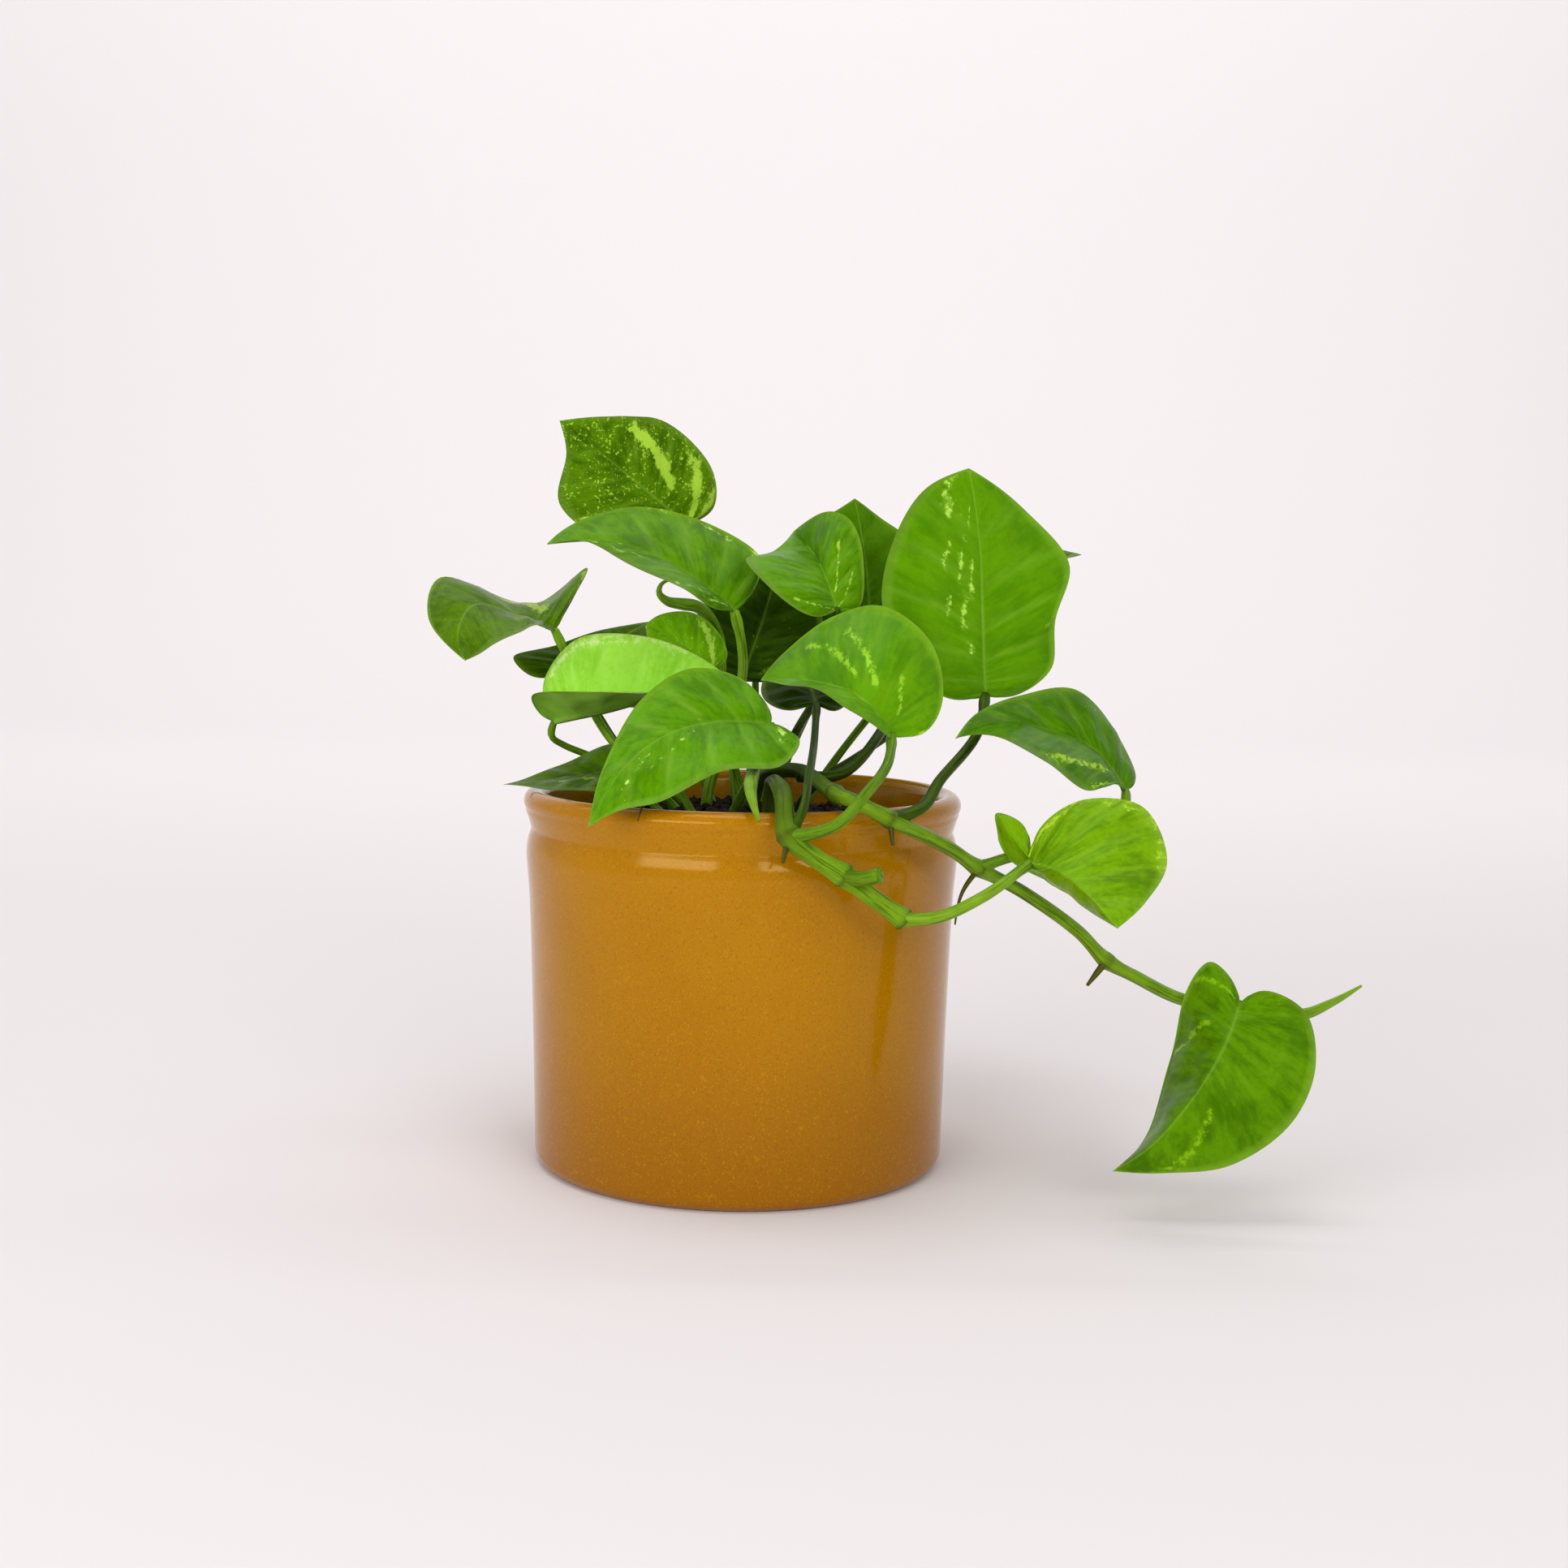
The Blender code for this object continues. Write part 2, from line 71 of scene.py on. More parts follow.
def smooth_route(points, where):
    """Points at these fractions, 0 to 1, of a smooth curve through all the points given."""
    points = np.asarray(points, float)
    knots = np.concatenate([[0], np.cumsum(np.linalg.norm(np.diff(points, axis=0), axis=1) ** 0.5)])
    knots /= knots[-1]
    width = np.diff(knots)
    chord = np.diff(points, axis=0) / width[:, None]
    slope = np.empty_like(points)
    if len(points) > 2:
        slope[1:-1] = chord[:-1] * width[1:, None] + chord[1:] * width[:-1, None]
        slope[1:-1] /= (width[1:] + width[:-1])[:, None]
        slope[0], slope[-1] = 1.5 * chord[0] - 0.5 * slope[1], 1.5 * chord[-1] - 0.5 * slope[-2]
    else:
        slope[:] = chord[0]
    where = np.asarray(where, float)
    i = np.clip(np.searchsorted(knots, where, side="right") - 1, 0, len(points) - 2)
    h, u = width[i][:, None], ((where - knots[i]) / width[i])[:, None]
    near = (2 * u**3 - 3 * u**2 + 1) * points[i] + (u**3 - 2 * u**2 + u) * h * slope[i]
    return near + (3 * u**2 - 2 * u**3) * points[i + 1] + (u**3 - u**2) * h * slope[i + 1]


def unit(vectors):
    length = np.linalg.norm(vectors, axis=-1, keepdims=True)
    return vectors / np.maximum(length, 1e-9)


def ripple(points, size, seed, octaves=2):
    """Smooth repeatable noise, about -1 to 1, at points in millimetres; size is a bump's width."""
    random = np.random.default_rng(seed)
    total, weight = np.zeros(points.shape[:-1]), 1.0
    for _ in range(octaves):
        for _ in range(5):
            way = random.normal(size=3)
            way *= 2 * np.pi / (size * 2) / np.linalg.norm(way) * random.uniform(0.7, 1.4)
            total += weight * np.sin(points @ way + random.uniform(0, 6.3)) / 2.5
        size, weight = size / 2.1, weight * 0.5
    return total


def mesh_piece(name, points, faces, uvs=None, attributes=None, slots=None):
    """A smooth-shaded mesh object; points in millimetres, uvs and attributes one per point."""
    mesh = bpy.data.meshes.new(name)
    mesh.from_pydata((np.asarray(points) * MM).tolist(), [], faces)
    if slots is not None:
        mesh.polygons.foreach_set("material_index", np.asarray(slots, np.int32))
    if uvs is not None:
        loops = np.empty(len(mesh.loops), np.int32)
        mesh.loops.foreach_get("vertex_index", loops)
        layer = mesh.uv_layers.new(name="UVMap")
        layer.data.foreach_set("uv", np.asarray(uvs, np.float32)[loops].ravel())
    for key, values in (attributes or {}).items():
        mesh.attributes.new(key, "FLOAT", "POINT").data.foreach_set("value", np.asarray(values, np.float32))
    mesh.polygons.foreach_set("use_smooth", [True] * len(mesh.polygons))
    mesh.update()
    obj = bpy.data.objects.new(name, mesh)
    bpy.context.scene.collection.objects.link(obj)
    return obj


def finish_piece(obj, materials, slot, *nodes):
    """Gives a piece its materials, puts it on the one body and hides the CAD nodes it stands for."""
    for made in materials:
        obj.data.materials.append(made)
    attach(obj, "root")
    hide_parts(*nodes)
    return obj


class Shader:
    """Builds one node material, with short calls for the nodes used here."""

    def __init__(self, name, **sockets):
        self.material = bpy.data.materials.new(name)
        self.material.use_nodes = True
        self.tree = self.material.node_tree
        self.surface = self.tree.nodes["Principled BSDF"]
        for key, value in sockets.items():
            self.surface.inputs[key.replace("_", " ")].default_value = value

    def node(self, kind, *inputs, **settings):
        made = self.tree.nodes.new("ShaderNode" + kind)
        for key, value in settings.items():
            setattr(made, key, value)
        for socket, value in zip(made.inputs, inputs):
            self.set(socket, value)
        return made

    def set(self, socket, value):
        if isinstance(value, bpy.types.NodeSocket):
            self.tree.links.new(value, socket)
        elif value is not None:
            socket.default_value = value

    def math(self, operation, first, second=None, third=None):
        return self.node("Math", first, second, third, operation=operation).outputs[0]

    def step(self, value, low, high):
        """0 below low, 1 above high, smooth between."""
        made = self.node("MapRange", value, low, high, 0.0, 1.0, interpolation_type="SMOOTHSTEP")
        return made.outputs[0]

    def mix(self, factor, first, second):
        made = self.node("Mix", data_type="RGBA")
        self.set(made.inputs["Factor"], factor)
        for socket, colour in ((made.inputs["A"], first), (made.inputs["B"], second)):
            self.set(socket, (*colour, 1.0) if isinstance(colour, tuple) else colour)
        return made.outputs["Result"]

    def noise(self, vector, scale, detail=2.0, roughness=0.5):
        made = self.node("TexNoise")
        self.set(made.inputs["Vector"], vector)
        made.inputs["Scale"].default_value = scale
        made.inputs["Detail"].default_value = detail
        made.inputs["Roughness"].default_value = roughness
        return made.outputs["Factor"] if "Factor" in made.outputs else made.outputs["Fac"]

    def place(self):
        """Object coordinates: metres in the row frame."""
        return self.node("TexCoord").outputs["Object"]

    def attribute(self, name):
        return self.node("Attribute", attribute_name=name).outputs["Fac"]

    def bump(self, height, strength, distance):
        made = self.node("Bump")
        made.inputs["Strength"].default_value = strength
        made.inputs["Distance"].default_value = distance
        self.set(made.inputs["Height"], height)
        self.set(self.surface.inputs["Normal"], made.outputs["Normal"])

    def colour(self, value):
        self.set(self.surface.inputs["Base Color"], value)
        return self.material


# ------------------------------------------------------------------------------------------------
# Camera, light and floor
# ------------------------------------------------------------------------------------------------
CAMERA_PLACE = (0.015, -0.748, 0.215)
CAMERA_PITCH = 5.8
CAMERA_ROLL = 0.95
CAMERA_LENS = 46.96


def look_at(obj, target):
    way = np.asarray(target) - np.asarray(obj.location)
    obj.rotation_euler = (math.atan2(math.hypot(way[0], way[1]), -way[2]), 0, math.atan2(-way[0], way[1]))


def area_light(name, location, target, size, power, colour=(1.0, 1.0, 1.0)):
    light = bpy.data.lights.new(name, "AREA")
    light.shape = "RECTANGLE"
    light.size, light.size_y = size
    light.energy = power
    light.color = colour
    obj = bpy.data.objects.new(name, light)
    obj.location = location
    look_at(obj, target)
    bpy.context.scene.collection.objects.link(obj)


def make_studio():
    scene = bpy.context.scene
    scene.view_settings.view_transform = "Standard"
    camera = bpy.data.objects.new("camera", bpy.data.cameras.new("camera"))
    camera.data.lens = CAMERA_LENS
    camera.data.sensor_width = 36.0
    camera.location = CAMERA_PLACE
    turn = [math.radians(90 - CAMERA_PITCH), math.radians(CAMERA_ROLL)]
    from mathutils import Matrix
    camera.matrix_world = (Matrix.Translation(CAMERA_PLACE) @ Matrix.Rotation(turn[0], 4, "X")
                           @ Matrix.Rotation(turn[1], 4, "Z"))
    scene.collection.objects.link(camera)
    scene.camera = camera

    world = bpy.data.worlds.new("studio")
    world.use_nodes = True
    sky = world.node_tree.nodes["Background"]
    sky.inputs["Color"].default_value = (*srgb(250, 246, 247), 1.0)
    sky.inputs["Strength"].default_value = 0.54
    scene.world = world

    # Two low softboxes, left and right of the camera, each seen as one short bar on the pot's shoulder.
    area_light("softbox_left", (-0.67, -1.05, 0.55), (0, 0, 0.12), (0.92, 0.36), 5.2)
    area_light("softbox_right", (0.52, -1.13, 0.55), (0, 0, 0.12), (0.62, 0.36), 3.5)
    area_light("top", (-0.1, -0.15, 1.3), (0, 0, 0.16), (0.7, 0.5), 3.0)
    area_light("backdrop_light", (0.0, 0.9, 2.2), (0, 3.0, 0.7), (5.0, 0.6), 46.0)

    # Floor and backdrop in one sweep, so that no horizon shows.
    turn = [math.radians(a) for a in range(0, 91, 6)]
    profile = [(-4.0, 0.0)] + [(2.0 + math.sin(a), 1 - math.cos(a)) for a in turn] + [(3.0, 5.0)]
    points = [(x * 1000, y * 1000, z * 1000) for y, z in profile for x in (-6.0, 6.0)]
    faces = [(i, i + 1, i + 3, i + 2) for i in range(0, len(points) - 2, 2)]
    sweep = mesh_piece("backdrop", points, faces)
    shade = Shader("backdrop_white", Roughness=1.0)
    shade.surface.inputs["Specular IOR Level"].default_value = 0.0
    shade.surface.inputs["Base Color"].default_value = (*srgb(240, 236, 237), 1.0)
    sweep.data.materials.append(shade.material)


# ------------------------------------------------------------------------------------------------
# Pot and soil
# ------------------------------------------------------------------------------------------------
POT_HEIGHT = 137.0
RIM_RADIUS = 80.0
RIM_THICKNESS = 8.5
BASE_RADIUS = 75.0
BASE_ROUND = 5.0
FLOOR = 7.0
POT_STEPS = 160
SOIL_RADIUS = 69.6
SOIL_TOP = 130.0
SOIL_EDGE = 122.0


def arc(centre, radius, start, end, count):
    """Points on an arc, with angles in degrees from +r towards +z."""
    return [(centre[0] + radius * math.cos(math.radians(a)), centre[1] + radius * math.sin(math.radians(a)))
            for a in np.linspace(start, end, count)]


def lathe(name, profile, steps):
    """A closed surface of revolution from a section that starts and ends on the axis."""
    angles = np.arange(steps) * 2 * np.pi / steps
    rings = [(r, z) for r, z in profile if r > 0]
    points = [(r * math.cos(a), r * math.sin(a), z) for r, z in rings for a in angles]
    faces = []
    for ring in range(len(rings) - 1):
        for i in range(steps):
            a, b = ring * steps + i, ring * steps + (i + 1) % steps
            faces.append((a, a + steps, b + steps, b))
    first, last = len(points), len(points) + 1
    points += [(0, 0, profile[0][1]), (0, 0, profile[-1][1])]
    end = (len(rings) - 1) * steps
    faces += [(first, i, (i + 1) % steps) for i in range(steps)]
    faces += [(last, end + (i + 1) % steps, end + i) for i in range(steps)]
    return points, faces


def pot_section():
    """From the inside floor, up the wall, over the rim bead and down the outside to the underside."""
    bead = RIM_THICKNESS / 2
    centre = (RIM_RADIUS - bead, POT_HEIGHT - bead)
    inner = BASE_RADIUS - 9.0
    points = [(0.0, FLOOR), (inner - 6, FLOOR), *arc((inner - 6, FLOOR + 7), 7, -85, 0, 6)]
    points += [(70.2, 60.0), (70.6, 100.0), (70.6, 118.0), (70.7, 126.0), (71.1, 130.5)]
    points += arc(centre, bead, 178, -38, 25)
    groove = [(79.2, 129.3), (78.75, 128.0), (78.3, 126.6), (77.9, 125.2), (77.55, 124.0), (77.3, 123.2),
              (77.25, 122.7), (77.4, 122.2), (77.75, 121.3), (78.1, 120.2), (78.42, 119.0), (78.68, 117.8),
              (78.86, 116.6), (78.96, 115.4), (79.0, 114.2), (78.96, 112.8), (78.85, 111.0), (78.6, 108.0),
              (78.2, 103.5), (77.8, 98.0)]
    points += groove + [(77.3, 85.0), (76.7, 65.0), (76.2, 45.0), (75.8, 25.0), (75.5, 12.0)]
    points += arc((BASE_RADIUS - BASE_ROUND + 0.4, BASE_ROUND), BASE_ROUND, -5, -90, 9)
    return points + [(66.0, 0.0), (0.0, 0.0)]


def glaze_material():
    """Mustard glaze: slightly cloudy, with fine light and dark grains, and painted shade darkening it towards the
    bottom.
    """
    shade = Shader("pot_glaze_mustard", IOR=1.5, Specular_IOR_Level=0.38, Specular_Tint=(*srgb(255, 228, 160), 1.0))
    place = shade.place()
    cloud = shade.noise(place, 16.0, 3.0, 0.55)
    grain = shade.noise(place, 1700.0, 2.0, 0.6)
    patch = shade.noise(place, 420.0, 2.0, 0.6)
    height = shade.node("SeparateXYZ", place).outputs["Z"]
    base = shade.mix(shade.step(cloud, 0.3, 0.7), srgb(171, 114, 1), srgb(179, 121, 2))
    # Painted shade: the glaze colour is darkened towards the pot's bottom, below 85 mm.
    base = shade.mix(shade.step(height, 0.085, 0.0), base, srgb(156, 98, 1))
    base = shade.mix(shade.math("MULTIPLY", shade.step(grain, 0.58, 0.72), 0.5), base, srgb(212, 158, 24))
    base = shade.mix(shade.math("MULTIPLY", shade.step(grain, 0.42, 0.30), 0.5), base, srgb(118, 72, 1))
    base = shade.mix(shade.math("MULTIPLY", shade.step(patch, 0.62, 0.74), 0.3), base, srgb(200, 142, 8))
    thin = shade.math("MULTIPLY", shade.step(height, 0.1345, 0.1368), 0.3)
    base = shade.mix(thin, base, srgb(176, 108, 10))
    shade.bump(shade.noise(place, 240.0, 3.0, 0.55), 0.04, 0.0005)
    shade.set(shade.surface.inputs["Roughness"], shade.math("MULTIPLY_ADD", cloud, 0.08, 0.08))
    return shade.colour(base)


def make_pot():
    points, faces = lathe("glazed_pot", pot_section(), POT_STEPS)
    pot = mesh_piece("glazed_pot", points, [face[::-1] for face in faces])
    finish_piece(pot, [glaze_material()], "pot_glaze", "pot")


def soil_height(radius):
    return SOIL_TOP - (SOIL_TOP - SOIL_EDGE) * (radius / SOIL_RADIUS) ** 2


def soil_material():
    shade = Shader("potting_soil_dark", Roughness=0.95)
    shade.surface.inputs["Specular IOR Level"].default_value = 0.2
    place = shade.place()
    grain = shade.noise(place, 420.0, 4.0, 0.65)
    base = shade.mix(shade.step(grain, 0.35, 0.7), srgb(20, 15, 11), srgb(62, 46, 33))
    shade.bump(grain, 0.7, 0.0015)
    return shade.colour(base)


def make_soil():
    """A crumbly mound: a rippled disc closed below, and loose lumps pressed into its top."""
    random = np.random.default_rng(5)
    steps, rings = 132, 46
    radii = np.linspace(0, SOIL_RADIUS, rings)[1:]
    angles = np.arange(steps) * 2 * np.pi / steps
    ring, angle = np.meshgrid(radii, angles, indexing="ij")
    flat = np.stack([ring * np.cos(angle), ring * np.sin(angle), 0 * ring], -1)
    lift = 1.0 * ripple(flat, 4.5, 11, 3) + 0.7 * ripple(flat, 13, 12, 2)
    flat[..., 2] = soil_height(ring) + lift
    points = [(0, 0, SOIL_TOP), *flat.reshape(-1, 3)]
    faces = [(0, 1 + i, 1 + (i + 1) % steps) for i in range(steps)]
    for k in range(rings - 2):
        for i in range(steps):
            a, b = 1 + k * steps + i, 1 + k * steps + (i + 1) % steps
            faces.append((a, a + steps, b + steps, b))
    rim = 1 + (rings - 2) * steps
    low = len(points)
    points += [(x, y, 104.0) for x, y, _ in flat[-1]]
    faces += [(rim + i, low + i, low + (i + 1) % steps, rim + (i + 1) % steps) for i in range(steps)]
    faces.append(tuple(low + i for i in range(steps))[::-1])
    corners = unit(np.array([(x, y, z) for x in (-1, 0, 1) for y in (-1, 0, 1) for z in (-1, 0, 1)
                             if (x, y, z) != (0, 0, 0)], float))
    for _ in range(330):
        radius, turn = SOIL_RADIUS * 0.97 * math.sqrt(random.uniform(0, 1)), random.uniform(0, 6.283)
        size = random.uniform(0.8, 2.4)
        centre = np.array([radius * math.cos(turn), radius * math.sin(turn), soil_height(radius) + 0.2 * size])
        lump = corners * size * random.uniform(0.6, 1.25, (26, 1)) * random.uniform(0.7, 1.2, (1, 3)) + centre
        if np.hypot(lump[:, 0], lump[:, 1]).max() < SOIL_RADIUS:
            faces += [tuple(len(points) + i for i in face) for face in LUMP_FACES]
            points += list(lump)
    soil = mesh_piece("soil_mound", points, faces)
    finish_piece(soil, [soil_material()], "potting_soil", "soil")


def cube_net():
    """Quads of the 26 outer points of a 3 x 3 x 3 grid, facing outward."""
    order = [(x, y, z) for x in (-1, 0, 1) for y in (-1, 0, 1) for z in (-1, 0, 1) if (x, y, z) != (0, 0, 0)]
    index = {p: i for i, p in enumerate(order)}
    quads = []
    for axis in range(3):
        others = [a for a in range(3) if a != axis]
        for side in (-1, 1):
            for i in (-1, 0):
                for j in (-1, 0):
                    ring = []
                    for du, dv in ((0, 0), (1, 0), (1, 1), (0, 1)):
                        p = [0, 0, 0]
                        p[axis], p[others[0]], p[others[1]] = side, i + du, j + dv
                        ring.append(index[tuple(p)])
                    outward = side > 0
                    quads.append(tuple(ring if outward != (axis == 1) else ring[::-1]))
    return quads


LUMP_FACES = cube_net()

# ------------------------------------------------------------------------------------------------
# Leaves
# ------------------------------------------------------------------------------------------------
ROWS = 60
COLUMNS = 13
LEAF_CUP = 0.07
VEIN_SWEEP = 2.3
VEINS = 7
BLADE = 0.45
LEAF_SHEEN = srgb(200, 255, 70)

# Each leaf is drawn by its base, its tip, the way of its midrib and its two margins, base to tip.
LEAVES = {
    "top_left": Leaf(
        base=(-24, 46, 234), tip=(-72, 34, 272), rib=[(-46, 38, 252)],
        left=[(-34, 40, 223), (-54, 30, 227), (-71, 26, 241), (-69, 30, 260)],
        right=[(-14, 50, 241), (-15, 48, 256), (-33, 42, 273), (-55, 36, 274)]),
    "long_left": Leaf(
        base=(-4, -4, 202), tip=(-71, -14, 225), rib=[(-22, -4, 216), (-46, -9, 226)],
        left=[(-12, -16, 204), (-23, -27, 210), (-42, -30, 220), (-59, -22, 226)],
        right=[(3, 4, 210), (5, 12, 221), (-13, 20, 234), (-40, 16, 239), (-61, 0, 234)]),
    "far_left": Leaf(
        base=(-70, 4, 194), tip=(-100, -15, 183), rib=[(-83, 2, 199), (-98, -2, 203), (-103, -10, 194)],
        left=[(-72, -12, 195), (-77, -18, 196), (-88, -22, 189)],
        right=[(-64, 18, 207), (-61, 30, 217), (-82, 30, 203), (-114, 18, 212), (-116, 0, 198)]),
    "back_left": Leaf(
        base=(-67, 20, 177), tip=(-37, 36, 197), rib=[(-52, 28, 188)],
        left=[(-81, 22, 176), (-88, 26, 183), (-71, 30, 188), (-53, 34, 194)],
        right=[(-59, 16, 172), (-45, 18, 178), (-37, 26, 188)]),
    "bright": Leaf(
        base=(-69, -6, 161), tip=(-8, 8, 179), rib=[(-49, -4, 165), (-29, 2, 171)],
        left=[(-73, -2, 167), (-73, 2, 177), (-62, 7, 191), (-39, 9, 192), (-21, 9, 187)],
        right=[(-73, -14, 164), (-75, -22, 172), (-51, -32, 173), (-28, -18, 174)]),
    "small": Leaf(
        base=(-11, 16, 180), tip=(-38, 20, 196), rib=[(-24, 18, 189)],
        left=[(-16, 12, 175), (-27, 12, 177), (-35, 14, 186)],
        right=[(-7, 18, 185), (-11, 22, 194), (-21, 24, 201), (-32, 22, 200)]),
    "front": Leaf(
        base=(10, -42, 164), tip=(-49, -84, 132), rib=[(-9, -50, 165), (-25, -60, 161), (-38, -72, 151)],
        left=[(20, -50, 159), (14, -62, 152), (-4, -70, 150), (-25, -78, 141), (-38, -82, 138)],
        right=[(9, -36, 170), (0, -32, 179), (-18, -36, 182), (-34, -48, 173), (-45, -68, 151)]),
    "low_left": Leaf(
        base=(-31, -14, 146), tip=(-87, -8, 138), rib=[(-60, -12, 142)],
        left=[(-29, -22, 138), (-47, -30, 138), (-65, -24, 138), (-76, -16, 138)],
        right=[(-34, -4, 154), (-51, 0, 152), (-67, -2, 145), (-79, -6, 140)]),
    "shade": Leaf(
        base=(-2, 40, 175), tip=(12, 50, 221), rib=[(6, 44, 199)],
        left=[(-11, 38, 176), (-18, 38, 187), (-19, 40, 201), (-5, 46, 213)],
        right=[(11, 38, 175), (26, 38, 183), (29, 42, 198), (21, 46, 214)]),
    "centre": Leaf(
        base=(33, -4, 203), tip=(17, 34, 232), rib=[(29, 4, 215), (25, 18, 223)],
        left=[(25, -10, 201), (9, -16, 210), (0, -6, 221), (10, 14, 224)],
        right=[(41, 0, 204), (43, 6, 218), (38, 16, 236), (28, 26, 239)]),
    "centre_back": Leaf(
        base=(48, 54, 191), tip=(41, 66, 246), rib=[(46, 60, 219)],
        left=[(37, 54, 189), (20, 56, 203), (13, 58, 218), (19, 62, 233), (32, 66, 240)],
        right=[(59, 54, 191), (69, 58, 207), (64, 62, 228), (51, 66, 239)]),
    "tall": Leaf(
        base=(86, -20, 174), tip=(80, 0, 255), rib=[(85, -14, 202), (84, -6, 228)],
        left=[(73, -26, 173), (57, -27, 183), (49, -18, 206), (52, -14, 227), (64, -4, 247)],
        right=[(98, -14, 174), (111, -10, 184), (112, -8, 201), (117, 0, 221), (101, 4, 241)]),
    "behind_tall": Leaf(
        base=(102, 28, 218), tip=(126, 30, 225), rib=[(113, 32, 222)],
        left=[(103, 36, 223), (114, 40, 227)],
        right=[(103, 18, 215), (115, 20, 222)]),
    "crown": Leaf(
        base=(51, -62, 162), tip=(6, -20, 178), rib=[(41, -60, 174), (25, -42, 179)],
        left=[(48, -72, 163), (37, -78, 172), (24, -60, 177)],
        right=[(62, -58, 163), (69, -48, 174), (65, -38, 193), (48, -30, 205), (30, -20, 201), (14, -14, 187)]),
    "right": Leaf(
        base=(135, -34, 142), tip=(73, -54, 161), rib=[(124, -32, 156), (107, -34, 163), (87, -44, 166)],
        left=[(129, -44, 145), (118, -56, 145), (102, -64, 154), (87, -64, 163)],
        right=[(140, -24, 147), (134, -12, 162), (118, -16, 176), (98, -27, 175), (82, -40, 169)]),
    "round": Leaf(
        base=(97, -72, 121), tip=(122, -104, 105), rib=[(106, -84, 120), (115, -96, 113)],
        left=[(102, -66, 133), (116, -62, 142), (135, -66, 140), (142, -78, 124), (133, -92, 112)],
        right=[(96, -62, 133), (87, -58, 136), (92, -58, 121), (108, -67, 112), (117, -84, 107)]),
    "trailing": Leaf(
        base=(171, -64, 73), tip=(128, -74, 17), rib=[(164, -74, 60), (153, -80, 44), (140, -80, 28)],
        left=[(179, -66, 78), (192, -70, 72), (195, -74, 54), (186, -78, 35), (166, -80, 21), (145, -78, 18)],
        right=[(169, -58, 81), (163, -52, 85), (156, -48, 73), (150, -52, 51), (142, -64, 28)]),
    "under": Leaf(
        base=(26, -24, 170), tip=(20, 20, 188), rib=[(23, 0, 178)],
        left=[(17, -24, 168), (8, -16, 170), (7, 0, 178)],
        right=[(33, -26, 168), (39, -20, 172), (39, 0, 180)]),
    "rear_middle": Leaf(
        base=(38, 70, 192), tip=(52, 126, 170), rib=[(43, 90, 197), (49, 112, 186)],
        left=[(28, 66, 186), (20, 76, 184), (24, 96, 183), (40, 116, 176)],
        right=[(50, 66, 187), (64, 74, 187), (70, 92, 186), (63, 114, 177)]),
    "rear_right": Leaf(
        base=(72, 46, 196), tip=(104, 94, 202), rib=[(82, 60, 204), (94, 78, 207)],
        left=[(64, 48, 191), (62, 62, 193), (74, 80, 199), (92, 92, 202)],
        right=[(80, 38, 192), (94, 42, 195), (104, 58, 200), (106, 78, 203)]),
    "rear_left": Leaf(
        base=(-32, 54, 168), tip=(-62, 108, 158), rib=[(-42, 70, 175), (-52, 88, 171)],
        left=[(-42, 48, 163), (-56, 54, 164), (-66, 72, 164), (-66, 92, 160)],
        right=[(-22, 58, 164), (-20, 72, 166), (-32, 90, 166), (-50, 104, 161)]),
    "rear_high": Leaf(
        base=(2, 62, 192), tip=(4, 104, 208), rib=[(2, 76, 202), (3, 90, 208)],
        left=[(-5, 58, 190), (-14, 68, 194), (-13, 84, 200), (-4, 98, 206)],
        right=[(9, 58, 190), (18, 68, 194), (18, 84, 201), (11, 98, 207)]),
}

